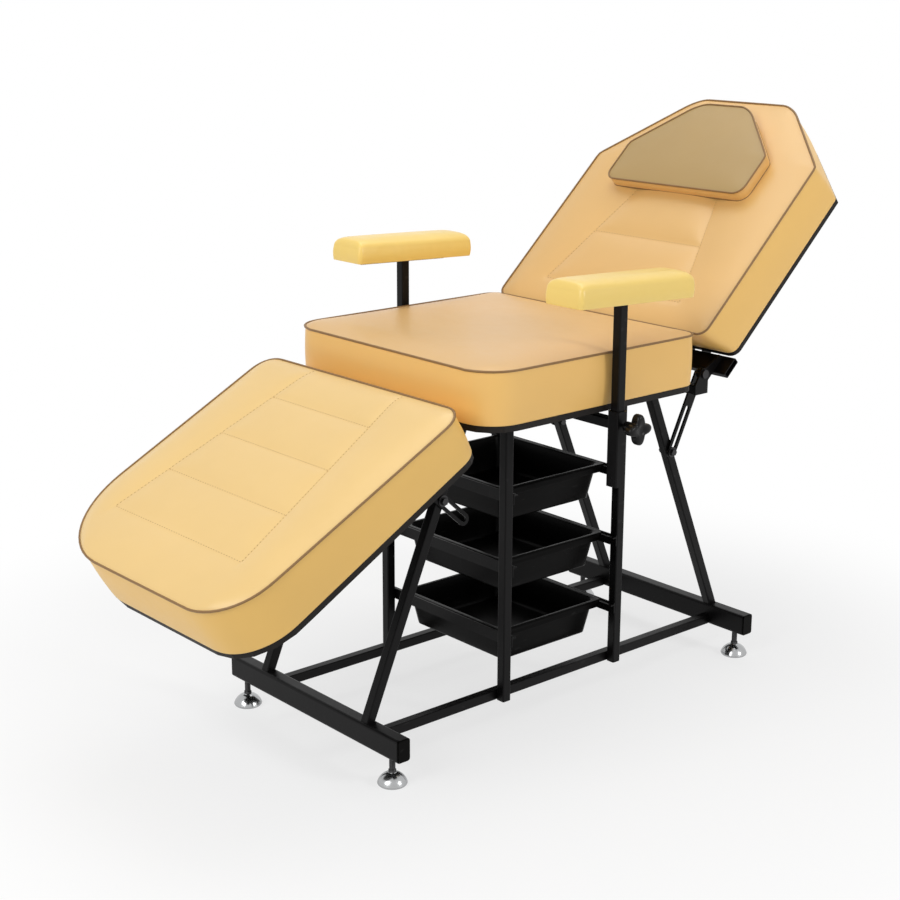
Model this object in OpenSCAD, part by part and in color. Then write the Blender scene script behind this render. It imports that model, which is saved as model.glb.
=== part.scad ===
// Reclining salon chair with a four-post rack of trays, drawn at rest: back raised, legrest lowered.
// Millimetres. Z is up, the foot end is at -Y, the head end at +Y, the near side at +X.
// The near and far halves mirror each other across X = 0.

/* [Base] */
// Length of each base bar, over its end caps
base_bar_l = 540; // [400:1:700]
// Depth of a base bar along Y
base_bar_d = 30; // [20:1:50]
// Height of a base bar
base_bar_h = 45; // [25:1:70]
// Underside of the base bars above the floor
base_lift = 56; // [35:1:90]
// Distance of each base bar from the middle of the base
base_bar_y = 484; // [380:1:600]
// Thickness of an end cap outside its bar
cap_t = 4; // [2:0.5:8]
// Distance of each levelling foot from the end of its bar
foot_in = 35; // [20:1:120]
// Diameter of a foot pad
foot_d = 57; // [30:1:80]
// Height of a foot pad
foot_h = 26; // [12:1:40]
// Diameter of a foot stud
stud_d = 12; // [8:0.5:16]

/* [Tubes and posts] */
// Outside width of the square frame tubes
tube = 20; // [15:1:30]
// Wall of the frame tubes
tube_wall = 2; // [1:0.5:4]
// Middle of the side rails, legs and seat rails along X
rail_x = 161; // [120:1:220]
// Distance of the rack posts from the middle, along Y
post_y = 156; // [110:1:200]
// Height of the seat board's underside
seat_frame_z = 647; // [500:1:760]
// Distance of the leg foot from the middle, along Y
leg_foot_y = 482; // [380:1:580]
// Distance of the leg top from the middle, along Y
leg_top_y = 257.5; // [180:0.5:330]
// Front end of the seat rails
rail_front_y = 268; // [220:1:320]
// Rear end of the seat rails
rail_rear_y = 275; // [230:1:320]
// Middle of the front seat cross tube
front_cross_y = 225; // [180:1:240]

/* [Seat] */
// Half of the width of the seat, back and legrest cushions
pad_half_w = 300; // [240:1:360]
// Front edge of the seat
seat_front_y = 310; // [260:1:380]
// Rear edge of the seat
seat_rear_y = 250; // [200:1:290]
// Thickness of the seat board
seat_board_t = 12; // [8:1:20]
// Height of the seat cushion's sewn edge above its board
seat_foam_t = 101; // [60:1:130]
// Corner radius of the seat at the front
seat_front_r = 70; // [20:1:120]
// Corner radius of the seat at the rear
seat_rear_r = 34; // [15:1:100]

/* [Backrest] */
// Hinge line of the backrest along Y
back_hinge_y = 300; // [270:1:340]
// Hinge line of the backrest above the floor
back_hinge_z = 668; // [640:1:700]
// Angle of the backrest above level at rest
back_rest_angle = 43.2; // [0:0.1:60]
// Start of the backrest cushion from the hinge line
back_near_y = 32.5; // [20:0.5:60]
// How far the underside of the backrest starts above its face
back_lean = 34; // [0:1:60]
// Shoulder of the backrest from the hinge line
back_shoulder_y = 480.5; // [400:0.5:560]
// Shoulder of the backrest on its far side, where the taper starts lower
back_far_shoulder_y = 455; // [400:0.5:480]
// Head end of the backrest from the hinge line
back_top_y = 638; // [560:1:720]
// Half of the width of the head end
back_top_half_w = 143; // [100:1:220]
// Half of the width of the head end on the far side
back_far_top_half_w = 118; // [90:1:220]
// Underside of the backrest board below the hinge line
back_board_low = 25; // [15:0.1:40]
// Thickness of the backrest board
back_board_t = 11; // [8:1:20]
// Height of the backrest cushion's sewn edge above its board
back_foam_t = 105.7; // [60:0.1:130]

/* [Headrest pillow] */
// Lower edge of the pillow from the hinge line
pillow_low_y = 364; // [300:1:420]
// Start of the pillow's taper from the hinge line
pillow_taper_y = 470; // [420:1:520]
// Upper edge of the pillow from the hinge line
pillow_top_y = 597; // [540:1:630]
// Half of the width of the pillow
pillow_half_w = 194; // [140:1:250]
// Half of the width of the pillow's upper edge
pillow_top_half_w = 68; // [40:1:120]
// Height of the pillow's sewn edge
pillow_t = 27; // [15:1:60]

/* [Legrest] */
// Hinge line of the legrest from the middle, toward the foot end
leg_hinge_y = 255; // [220:1:262]
// Hinge line of the legrest above the floor
leg_hinge_z = 637; // [600:1:660]
// Angle of the legrest below level at rest
leg_rest_angle = 29.6; // [0:0.1:60]
// Start of the legrest cushion from its hinge line
leg_near_y = 65.5; // [58:0.5:90]
// Foot end of the legrest from its hinge line
leg_far_y = 647; // [520:0.5:760]
// Underside of the legrest board above its hinge line
leg_board_up = 16; // [1:0.1:30]
// Thickness of the legrest board
leg_board_t = 12; // [8:1:20]
// Height of the legrest cushion's sewn edge above its board
leg_foam_t = 103.8; // [60:0.1:130]
// Foam thickness of the legrest at its hinge end, where it is thinner
leg_foam_near_t = 84.6; // [50:0.1:130]
// Corner radius of the foot end on the near side
leg_far_r = 110; // [30:1:150]
// Corner radius of the foot end on the far side, which is rounder
leg_wide_r = 190; // [40:1:220]
// Corner radius of the end next to the seat
leg_near_r = 44; // [20:1:80]

/* [Stays] */
// Width of the flat stay bars
stay_w = 25; // [16:1:40]
// Thickness of the flat stay bars
stay_t = 5; // [3:0.5:8]
// Pivot of a back stay on the backrest tube, from the back hinge line
back_stay_y = 186.6; // [150:0.1:240]
// Clamp bolt of a back stay on the rear leg, above the floor
back_clamp_z = 480; // [420:1:540]
// Travel of the back stay past its clamp bolt
back_stay_travel = 96; // [60:1:120]
// Pivot of a legrest stay on the legrest tube, from the leg hinge line
leg_stay_y = 148; // [130:0.1:200]
// Clamp bolt of a legrest stay on the front leg, above the floor
leg_clamp_z = 500; // [440:1:540]
// Travel of the legrest stay toward its pivot
leg_stay_in = 48.5; // [30:1:70]
// Travel of the legrest stay away from its pivot
leg_stay_out = 70; // [40:1:80]
// Diameter of the clamp and pivot bolts
bolt_d = 6; // [6:0.5:12]
// Width of the slots in the stays
slot_w = 11; // [9:0.5:15]
// Diameter of the back and legrest hinge pins
pin_d = 10; // [8:0.5:14]
// Thickness of the hinge ears and plates
ear_t = 5; // [3:0.5:8]
// Inner face of the fixed back ears, in from the edge of the cushions
ear_in = 32; // [16:1:80]

/* [Armrests] */
// Middle of the armrest posts, out from the edge of the cushions
arm_out = 20; // [14:1:60]
// Outside width of an armrest sleeve
sleeve = 27; // [24:0.5:34]
// Middle of the side tubes that carry the armrest sleeves, above the floor
arm_tube_z = 624; // [560:1:640]
// Underside of an armrest sleeve above the floor
sleeve_low_z = 502; // [480:1:560]
// Upper end of an armrest sleeve above the floor
sleeve_high_z = 650; // [600:1:655]
// Lower end of an armrest post at rest
arm_post_low_z = 552; // [545:1:580]
// Upper end of an armrest post at rest
arm_post_high_z = 855; // [800:1:900]
// Thickness of the flat bar under an armrest pad
arm_bar_t = 7; // [4:0.5:10]
// Foot end of that bar
arm_bar_front_y = 120; // [60:1:140]
// Head end of that bar
arm_bar_rear_y = 106; // [60:1:140]
// Width of an armrest pad
arm_pad_w = 94; // [60:1:120]
// Length of an armrest pad
arm_pad_l = 306; // [220:1:380]
// Height of an armrest pad's sewn edge
arm_pad_t = 31; // [15:1:50]
// Tilt of the armrest, whose foot end is higher
arm_tilt = 2.3; // [0:0.1:10]
// Height of the clamp knobs
knob_z = 624; // [560:1:640]
// Diameter across the lobes of a clamp knob
knob_d = 60; // [40:1:70]

/* [Tray rack] */
// Half of the length of a tray rim along X
tray_half_x = 155; // [120:1:170]
// Depth of a tray
tray_h = 73; // [40:1:100]
// Rim of the lowest tray above the floor
tray_low_z = 190; // [160:1:230]
// Height from one tray to the next
tray_step = 147; // [110:1:160]
// Draw-in of a tray's X ends down to its floor
tray_in_x = 12; // [4:1:30]
// Draw-in of a tray's Y sides down to its floor
tray_in_y = 13; // [4:1:30]
// Wall of a tray
tray_wall = 3; // [2:0.5:5]

/* [Hidden] */
$fn = 48;
fine = 64;
coarse = 24;
bite = 1;
run_gap = 0.05;
slide_gap = 0.1;
stay_gap = 0.5;
washer_t = 1.6;
washer_r = 11;
head_r = 7.5;
head_t = 5;
nut_t = 6;
nut_r = 7.5;
pin_head_t = 4;
pin_head_r = 9;
cap_plug = 18;
cap_step = 1.5;
tube_round = 2.5;
bar_round = 5;
sleeve_round = 3;
stud_up = 22;
foot_rim = 5;
board_in = 2;
soft_gap = 0.3;
side_in = 3;
seam_drop = 3.5;
seam_half = 7;
lip_t = 3;
lip_h = 16;
runner_t = 3;
runner_drop = 20;
runner_foot = 12;
tray_side_gap = 1;
boss_r = 11;
boss_l = 22;
lobe_r = 11;
knob_t = 20;
knob_gap = 8;
screw_r = 5;
screw_t = 3;
screw_d = 5;
screw_in = 18;
edge_roll = 42;
seat_crown = 14;
back_crown = 6;
leg_crown = 17;
pillow_crown = 7;
arm_crown = 20;
arm_end_roll = 7;
arm_corner_r = 8;
pillow_r = 24;
back_near_r = 20;
back_top_r = 26;
ear_gap = 1;
member_start = 24;
member_h = 43;
member_t = 14;
tube_back_end = 600;
tube_leg_start = 68;
tube_leg_end = 624;
ear_r = 12;
plate_foot = 60;
leg_ear_r = 9.5;
leg_ear_rise = 57;
leg_ear_end = 112;
leg_ear_low = 9.5;
back_seam_low_y = 96;
back_seam_mid_y = 239;
back_seam_high_y = 314;
back_seam_low_x = 194;
back_seam_high_x = 129;
leg_seam_near_x = 135;
leg_seam_far_x = 206;
leg_seam_near_y = 82;
leg_seam_step = 120;
leg_seam_first = 169;

foot_x = base_bar_l / 2 - foot_in;
ear_x = pad_half_w - ear_in;
arm_x = pad_half_w + arm_out;
bar_top_z = base_lift + base_bar_h;
bar_tube_half = base_bar_l / 2 - cap_t;
leg_slope = (leg_foot_y - leg_top_y) / (seat_frame_z - tube - bar_top_z);
function leg_line(z) = leg_foot_y - leg_slope * (z - bar_top_z);
post_x = rail_x + tube;
tube_half = tube / 2;
stay_x = rail_x + tube_half + stay_gap;
back_tube_low = back_board_low + tube_half;
leg_tube_up = leg_board_up - tube_half;
stay_pivot_low = back_board_low + stay_gap + stay_w / 2;
leg_pivot_up = leg_board_up - stay_gap - stay_w / 2;
seat_top_z = seat_frame_z + seat_board_t + seat_foam_t;
back_face = back_foam_t + back_board_t - back_board_low;
leg_face = leg_board_up + leg_board_t + leg_foam_t;
foot_end_y = -leg_hinge_y - leg_far_y * cos(leg_rest_angle) - leg_face * sin(leg_rest_angle);
head_end_y = back_hinge_y + (back_top_y - board_in) * cos(back_rest_angle)
    + back_board_low * sin(back_rest_angle);
home_y = -(foot_end_y + head_end_y) / 2;
back_clamp_y = leg_line(back_clamp_z);
leg_clamp_y = leg_line(leg_clamp_z);
back_qy = back_hinge_y + back_stay_y * cos(back_rest_angle) + stay_pivot_low * sin(back_rest_angle);
back_qz = back_hinge_z + back_stay_y * sin(back_rest_angle) - stay_pivot_low * cos(back_rest_angle);
leg_qy = -leg_hinge_y - leg_stay_y * cos(leg_rest_angle) - leg_pivot_up * sin(leg_rest_angle);
leg_qz = leg_hinge_z - leg_stay_y * sin(leg_rest_angle) + leg_pivot_up * cos(leg_rest_angle);
back_reach = norm([back_qy - back_clamp_y, back_qz - back_clamp_z]);
leg_reach = norm([leg_qy + leg_clamp_y, leg_qz - leg_clamp_z]);
back_stay_turn = atan2(back_clamp_z - back_qz, back_clamp_y - back_qy);
leg_stay_turn = atan2(leg_clamp_z - leg_qz, -leg_clamp_y - leg_qy);
tray_half_y = post_y - tube_half - runner_t - tray_side_gap;
tray_body_y = tray_half_y - runner_foot + runner_t;
tray_body_x = tray_half_x - lip_t - tray_wall;
arm_sink = 1;
sleeve_half = sleeve / 2;
sleeve_bore = tube + 2 * slide_gap;
knob_x = arm_x + sleeve_half + knob_gap;

module home() {
    translate([0, home_y, 0]) children();
}

module far_side() {
    mirror([1, 0, 0]) children();
}

module both_sides() {
    children();
    far_side() children();
}

// Carries a shape drawn about the back hinge line, with the back lying level, to its rest angle
module on_back() {
    home() translate([0, back_hinge_y, back_hinge_z]) rotate([back_rest_angle, 0, 0]) children();
}

// The same for the legrest, which points to -Y
module on_legrest() {
    home() translate([0, -leg_hinge_y, leg_hinge_z]) rotate([leg_rest_angle, 0, 0]) children();
}

// A block from one corner with its size
module block(corner, size) {
    translate(corner) cube(size);
}

// A round bar or hole along X
module rod_x(x0, x1, y, z, r, steps = $fn) {
    translate([x0, y, z]) rotate([0, 90, 0]) cylinder(h = x1 - x0, r = r, $fn = steps);
}

// A plate in the YZ plane, drawn from its outline
module plate_x(x0, t, outline) {
    translate([x0, 0, 0]) rotate([90, 0, 90]) linear_extrude(t) polygon(outline);
}

// A hexagon nut or head along X
module hex_x(x0, t, y, z, r) {
    plate_x(x0, t, [for (k = [0:5]) [y + r * cos(60 * k), z + r * sin(60 * k)]]);
}

// The outline of a bar with rounded corners, about its middle
function rounded(w, h, r) = [for (k = [0:3]) for (s = [0:3]) let (
    cx = (k == 0 || k == 3 ? 1 : -1) * (w / 2 - r), cy = (k < 2 ? 1 : -1) * (h / 2 - r), a = 90 * k + 30 * s)
    [cx + r * cos(a), cy + r * sin(a)]];

// A rounded tube of any section, drawn upward from its lower end
module tube_up(w, h, l, r, wall) {
    difference() {
        linear_extrude(l) polygon(rounded(w, h, r));
        block([wall - w / 2, wall - h / 2, -bite], [w - 2 * wall, h - 2 * wall, l + 2 * bite]);
    }
}

// A square tube along Y
module tube_y(x, y0, y1, z) {
    translate([x, y0, z]) rotate([-90, 0, 0]) tube_up(tube, tube, y1 - y0, tube_round, tube_wall);
}

// A tube along X, with its depth along Y and its height along Z
module tube_along_x(half, d, h, y, z, r) {
    translate([-half, y, z]) rotate([0, 90, 0]) tube_up(h, d, 2 * half, r, tube_wall);
}

// A square tube along X
module tube_x(half, y, z) {
    tube_along_x(half, tube, tube, y, z, tube_round);
}

// Share of the full crown at a distance from the sewn edge
function rise(d, roll) = 1 - pow(1 - min(max(d, 0) / roll, 1), 2);
// Draw-in of a rounded corner at a distance from the end
function corner_in(d, r) = d >= r ? 0 : r - sqrt(max(r * r - (r - d) * (r - d), 0));
// Half of the width of a tapered outline
function taper(y, shoulder, top, half, top_half) =
    y <= shoulder ? half : half - (half - top_half) * (y - shoulder) / (top - shoulder);
// Depth of a sewn channel at a distance from its line
function channel(d) = seam_drop * max(0, 1 - abs(d) / seam_half);
// Steps around a rounded corner, as shares of its radius
corner_shares = [0, 0.08, 0.3, 0.62, 1];

// A sewn block: a grid of top points, drawn-in sides and a flat underside
module sewn_block(top, low, half_x, mid_y, half_y, c, lean = 0) {
    shades = [0.06, 0.3, 0.7, 1];
    insets = [side_in / 4, side_in, side_in, side_in / 2];
    nr = len(top);
    nc = len(top[0]);
    edge = concat([for (i = [0:nc - 1]) i], [for (j = [1:nr - 1]) j * nc + nc - 1],
        [for (i = [nc - 2:-1:0]) (nr - 1) * nc + i], [for (j = [nr - 2:-1:1]) j * nc]);
    np = len(edge);
    flat = [for (row = top) for (p = row) p];
    ringed = [for (s = [0:3]) for (k = [0:np - 1]) let (p = flat[edge[k]])
        [p[0] * (1 - insets[s] / half_x), mid_y + (p[1] - mid_y) * (1 - insets[s] / half_y)
            + lean * shades[s] * (mid_y + half_y - p[1]) / (2 * half_y),
            p[2] + (low - p[2]) * shades[s]]];
    points = concat(flat, ringed, [[0, mid_y, low]]);
    base = nr * nc;
    last = len(points) - 1;
    ring = concat([edge], [for (s = [0:3]) [for (k = [0:np - 1]) base + s * np + k]]);
    faces = concat(
        [for (j = [0:nr - 2]) for (i = [0:nc - 2]) let (a = j * nc + i) [a, a + nc, a + nc + 1]],
        [for (j = [0:nr - 2]) for (i = [0:nc - 2]) let (a = j * nc + i) [a, a + nc + 1, a + 1]],
        [for (s = [0:3]) for (k = [0:np - 1]) let (m = (k + 1) % np)
            [ring[s][k], ring[s][m], ring[s + 1][m]]],
        [for (s = [0:3]) for (k = [0:np - 1]) let (m = (k + 1) % np)
            [ring[s][k], ring[s + 1][m], ring[s + 1][k]]],
        [for (k = [0:np - 1]) let (m = (k + 1) % np) [ring[4][k], ring[4][m], last]]);
    color(c) polyhedron(points, faces, convexity = 4);
}

module base_bar(side) {
    color([0.11, 0.1, 0.11]) home() difference() {
        tube_along_x(bar_tube_half, base_bar_d, base_bar_h, side * base_bar_y,
            base_lift + base_bar_h / 2, bar_round);
        both_sides() translate([foot_x, side * base_bar_y, base_lift - bite])
            cylinder(h = tube_wall + 2 * bite, r = stud_d / 2 + run_gap);
    }
}

module base_bar_end_caps() {
    color([0.09, 0.09, 0.1]) home() both_sides() for (side = [-1, 1]) {
        translate([bar_tube_half, side * base_bar_y, base_lift + base_bar_h / 2]) rotate([0, 90, 0]) {
            linear_extrude(cap_t - cap_step) polygon(rounded(base_bar_h, base_bar_d, bar_round));
            linear_extrude(cap_t)
                polygon(rounded(base_bar_h - 2 * cap_step, base_bar_d - 2 * cap_step, bar_round - cap_step));
            block([tube_wall - base_bar_h / 2, tube_wall - base_bar_d / 2, -cap_plug],
                [base_bar_h - 2 * tube_wall, base_bar_d - 2 * tube_wall, cap_plug]);
        }
    }
}

module foot(side_x, side_y) {
    color([0.78, 0.79, 0.81]) home() translate([side_x * foot_x, side_y * base_bar_y, 0]) {
        cylinder(h = foot_rim, r = foot_d / 2, $fn = fine);
        translate([0, 0, foot_rim]) intersection() {
            cylinder(h = foot_h - foot_rim, r = foot_d / 2, $fn = fine);
            foot_dome();
        }
        translate([0, 0, foot_h - bite]) cylinder(h = base_lift + stud_up - foot_h + bite, r = stud_d / 2);
    }
}

// A ball cut by the foot's rim gives its low dome
module foot_dome() {
    dome_h = foot_h - foot_rim;
    dome_r = (foot_d * foot_d / 4 + dome_h * dome_h) / (2 * dome_h);
    translate([0, 0, dome_h - dome_r]) sphere(r = dome_r, $fn = fine);
}

module side_rail() {
    color([0.11, 0.1, 0.11]) home()
        tube_y(rail_x, base_bar_d / 2 - base_bar_y, base_bar_y - base_bar_d / 2, base_lift + tube_half);
}

// A sloping leg, cut level at both ends, with its clamp bolt hole
module leg(side, clamp_z) {
    z1 = seat_frame_z - tube;
    lean = atan(leg_slope);
    long = (z1 - bar_top_z) / cos(lean) + 2 * tube;
    color([0.11, 0.1, 0.11]) home() difference() {
        intersection() {
            translate([rail_x, side * leg_line(bar_top_z), bar_top_z]) rotate([side * lean, 0, 0])
                translate([0, 0, -tube]) tube_up(tube, tube, long, tube_round, tube_wall);
            block([rail_x - tube, -base_bar_y - tube, bar_top_z],
                [2 * tube, 2 * (base_bar_y + tube), z1 - bar_top_z]);
        }
        rod_x(rail_x - tube, rail_x + tube, side * leg_line(clamp_z), clamp_z, bolt_d / 2 + run_gap);
    }
}

module rack_post(side) {
    color([0.11, 0.1, 0.11]) home() translate([post_x, side * post_y, base_lift])
        tube_up(tube, tube, seat_frame_z - base_lift, tube_round, tube_wall);
}

// A frustum drawn as two crossed wedges, from its half sizes at top and bottom
module tray_wedge(top_x, top_y, low_x, low_y, z0, z1) {
    intersection() {
        translate([0, top_y, 0]) rotate([90, 0, 0]) linear_extrude(2 * top_y)
            polygon([[-low_x, z0], [low_x, z0], [top_x, z1], [-top_x, z1]]);
        plate_x(-top_x, 2 * top_x, [[-low_y, z0], [low_y, z0], [top_y, z1], [-top_y, z1]]);
    }
}

module tray(z) {
    z0 = z - tray_h;
    color([0.1, 0.1, 0.11]) home() difference() {
        union() {
            tray_wedge(tray_body_x, tray_body_y, tray_body_x - tray_in_x, tray_body_y - tray_in_y, z0, z);
            block([-tray_half_x, -tray_half_y, z - tray_wall], [2 * tray_half_x, 2 * tray_half_y, tray_wall]);
            both_sides() block([tray_half_x - lip_t, -tray_body_y, z - lip_h],
                [lip_t, 2 * tray_body_y, lip_h]);
        }
        tray_wedge(tray_body_x - tray_wall, tray_body_y - tray_wall, tray_body_x - tray_in_x - tray_wall,
            tray_body_y - tray_in_y - tray_wall, z0 + tray_wall, z + tray_wall);
    }
}

module tray_runner(z, side) {
    y_out = post_y - tube_half;
    top = z - tray_wall - slide_gap;
    color([0.12, 0.11, 0.12]) home() {
        block([-post_x - tube_half, side > 0 ? y_out - runner_t : -y_out, top - runner_drop],
            [2 * post_x + tube, runner_t, runner_drop + tray_wall]);
        block([-post_x - tube_half, side > 0 ? y_out - runner_foot : runner_t - y_out, top - runner_t],
            [2 * post_x + tube, runner_foot - runner_t, runner_t]);
    }
}

module tray_runners(z) {
    tray_runner(z, -1);
    tray_runner(z, 1);
}

module seat_rail() {
    color([0.11, 0.1, 0.11]) home() difference() {
        tube_y(rail_x, -rail_front_y, rail_rear_y, seat_frame_z - tube_half);
        rod_x(rail_x - tube, rail_x + tube, -leg_hinge_y, leg_hinge_z, pin_d / 2 + run_gap);
    }
}

module front_cross_tube() {
    color([0.11, 0.1, 0.11]) home()
        tube_x(rail_x - tube_half, -front_cross_y, seat_frame_z - tube_half);
}

module rear_cross_tube() {
    color([0.11, 0.1, 0.11]) home()
        tube_x(ear_x, rail_rear_y + tube_half, seat_frame_z - tube_half);
}

module back_hinge_ear() {
    z0 = seat_frame_z - tube;
    color([0.12, 0.11, 0.12]) home() difference() {
        union() {
            plate_x(ear_x, ear_t, [[rail_rear_y, z0], [back_hinge_y + ear_r, z0],
                [back_hinge_y + ear_r, back_hinge_z], [back_hinge_y - ear_r, back_hinge_z],
                [rail_rear_y, seat_frame_z]]);
            rod_x(ear_x, ear_x + ear_t, back_hinge_y, back_hinge_z, ear_r);
        }
        rod_x(ear_x - bite, ear_x + ear_t + bite, back_hinge_y, back_hinge_z, pin_d / 2 + run_gap);
    }
}

module back_hinge_pins() {
    x0 = ear_x - ear_gap - ear_t - slide_gap;
    x1 = ear_x + ear_t + slide_gap;
    color([0.62, 0.62, 0.64]) home() both_sides() {
        rod_x(x0, x1, back_hinge_y, back_hinge_z, pin_d / 2);
        rod_x(x1, x1 + pin_head_t, back_hinge_y, back_hinge_z, pin_head_r);
        hex_x(x0 - nut_t, nut_t, back_hinge_y, back_hinge_z, pin_head_r);
    }
}

module armrest_side_tubes() {
    color([0.11, 0.1, 0.11]) home()
        both_sides() translate([post_x - tube_half, 0, arm_tube_z]) rotate([0, 90, 0])
            tube_up(tube, tube, arm_x - sleeve_half - post_x + tube_half, tube_round, tube_wall);
}

module armrest_sleeve() {
    color([0.12, 0.11, 0.12]) home() difference() {
        translate([arm_x, 0, sleeve_low_z])
            linear_extrude(sleeve_high_z - sleeve_low_z) polygon(rounded(sleeve, sleeve, sleeve_round));
        block([arm_x - sleeve_bore / 2, -sleeve_bore / 2, sleeve_low_z - bite],
            [sleeve_bore, sleeve_bore, sleeve_high_z - sleeve_low_z + 2 * bite]);
        rod_x(arm_x, arm_x + sleeve, 0, knob_z, bolt_d / 2 + run_gap);
    }
}

// Half of the seat's width at a place along Y
function seat_w(y, in) = pad_half_w - in - corner_in(y + seat_front_y - in, seat_front_r)
    - corner_in(seat_rear_y - in - y, seat_rear_r);
seat_rows = concat([for (s = corner_shares) s * seat_front_r - seat_front_y],
    [for (s = [0.2, 0.4, 0.6, 0.8])
        (1 - s) * (seat_front_r - seat_front_y) + s * (seat_rear_y - seat_rear_r)],
    [for (s = [4:-1:0]) seat_rear_y - corner_shares[s] * seat_rear_r]);
plain_shares = [-1, -0.975, -0.93, -0.86, -0.6, -0.3, 0, 0.3, 0.6, 0.86, 0.93, 0.975, 1];
function seat_point(y, u) = let (w = seat_w(y, 0), x = u * w,
    d = min(w - abs(x), y + seat_front_y, seat_rear_y - y))
    [x, y, seat_top_z + seat_crown * rise(d, edge_roll)];

// An outline for a board, from its rows
function outline(rows, near, far) = concat([for (k = [0:len(rows) - 1]) [near[k], rows[k]]],
    [for (k = [len(rows) - 1:-1:0]) [-far[k], rows[k]]]);

module seat_board() {
    rows = [for (s = corner_shares) s * seat_front_r - seat_front_y + board_in];
    tops = [for (s = [4:-1:0]) seat_rear_y - board_in - corner_shares[s] * seat_rear_r];
    all = concat(rows, tops);
    color([0.09, 0.08, 0.08]) home() translate([0, 0, seat_frame_z]) linear_extrude(seat_board_t)
        polygon(outline(all, [for (y = all) seat_w(y, board_in)], [for (y = all) seat_w(y, board_in)]));
}

module seat_cushion() {
    home() sewn_block([for (y = seat_rows) [for (u = plain_shares) seat_point(y, u)]],
        seat_frame_z + seat_board_t, pad_half_w, (seat_rear_y - seat_front_y) / 2,
        (seat_rear_y + seat_front_y) / 2, [0.87, 0.72, 0.5]);
}

// Four clamp bolts: head and washer inside the leg, washer and nut outside the stay
module stay_clamp_bolts() {
    x0 = rail_x - tube_half;
    x1 = stay_x + stay_t + slide_gap;
    color([0.7, 0.7, 0.72]) home() both_sides()
        for (at = [[back_clamp_y, back_clamp_z], [-leg_clamp_y, leg_clamp_z]]) {
            rod_x(x0, x1 + washer_t + nut_t, at[0], at[1], bolt_d / 2);
            hex_x(x0 - head_t, head_t, at[0], at[1], head_r);
            rod_x(x1, x1 + washer_t, at[0], at[1], washer_r);
            hex_x(x1 + washer_t, nut_t, at[0], at[1], nut_r);
        }
}

module legrest_hinge_pins() {
    x0 = rail_x - tube_half;
    x1 = stay_x + ear_t + slide_gap;
    color([0.62, 0.62, 0.64]) home() both_sides() {
        rod_x(x0, x1, -leg_hinge_y, leg_hinge_z, pin_d / 2);
        rod_x(x1, x1 + pin_head_t, -leg_hinge_y, leg_hinge_z, leg_ear_r);
        hex_x(x0 - nut_t, nut_t, -leg_hinge_y, leg_hinge_z, pin_head_r);
    }
}

// Width of the backrest from its middle to one side, at a place along it
function back_side(y, in, shoulder, top) = taper(y, shoulder, back_top_y, pad_half_w, top) - in
    - corner_in(y - back_near_y - in, back_near_r) - corner_in(back_top_y - in - y, back_top_r);
function back_near(y, in) = back_side(y, in, back_shoulder_y, back_top_half_w);
function back_far(y, in) = back_side(y, in, back_far_shoulder_y, back_far_top_half_w);
back_seam_slant = (back_seam_low_x - back_seam_high_x) / (back_seam_high_y - back_seam_low_y);
function back_seam_x(y) = back_seam_low_x
    - back_seam_slant * (min(max(y, back_seam_low_y), pillow_low_y) - back_seam_low_y);
back_rows = concat([for (s = corner_shares) back_near_y + s * back_near_r],
    [for (s = [-1, 0, 1]) back_seam_low_y + s * seam_half],
    [(back_seam_low_y + back_seam_mid_y) / 2],
    [for (s = [-1, 0, 1]) back_seam_mid_y + s * seam_half], [back_seam_high_y, pillow_low_y],
    [(pillow_low_y + back_far_shoulder_y) / 2, back_far_shoulder_y],
    [back_shoulder_y - board_in, back_shoulder_y],
    [for (s = [0.3, 0.6]) back_shoulder_y + s * (back_top_y - back_shoulder_y)],
    [for (s = [4:-1:0]) back_top_y - corner_shares[s] * back_top_r]);
// Places across a row: the sewn lines keep their own place, the rest follow the edge
function across(near, far, line) = let (seam = min(line, 0.8 * min(near, far) - seam_half))
    [-far, -0.975 * far, -0.93 * far, -0.86 * far, -seam - seam_half, -seam, seam_half - seam, -seam / 2, 0,
        seam / 2, seam - seam_half, seam, seam + seam_half, 0.86 * near, 0.93 * near, 0.975 * near, near];
function back_point(y, x) = let (
    d = min(back_near(y, 0) - x, back_far(y, 0) + x, y - back_near_y, back_top_y - y),
    sx = back_seam_x(y),
    along = y < back_seam_low_y - seam_half || y > pillow_low_y ? 0 : channel(abs(x) - sx),
    cross = abs(x) > sx ? 0 : channel(y - back_seam_mid_y) + channel(y - back_seam_low_y))
    [x, y, back_face + back_crown * rise(d, edge_roll) - min(max(along, cross), seam_drop)];

module back_board() {
    rows = [for (s = corner_shares) back_near_y + board_in + s * back_near_r];
    tops = [for (s = [4:-1:0]) back_top_y - board_in - corner_shares[s] * back_top_r];
    all = concat(rows, [back_far_shoulder_y, back_shoulder_y], tops);
    color([0.09, 0.08, 0.08]) on_back() translate([0, 0, -back_board_low]) linear_extrude(back_board_t)
        polygon(outline([for (y = all) y + back_lean * (back_top_y - y) / (back_top_y - back_near_y)],
            [for (y = all) back_near(y, board_in)], [for (y = all) back_far(y, board_in)]));
}

module back_cushion() {
    on_back() sewn_block([for (y = back_rows)
        [for (x = across(back_near(y, 0), back_far(y, 0), back_seam_x(y))) back_point(y, x)]],
        back_board_t - back_board_low, pad_half_w, (back_near_y + back_top_y) / 2,
        (back_top_y - back_near_y) / 2, [0.88, 0.72, 0.46], back_lean);
}

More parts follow.
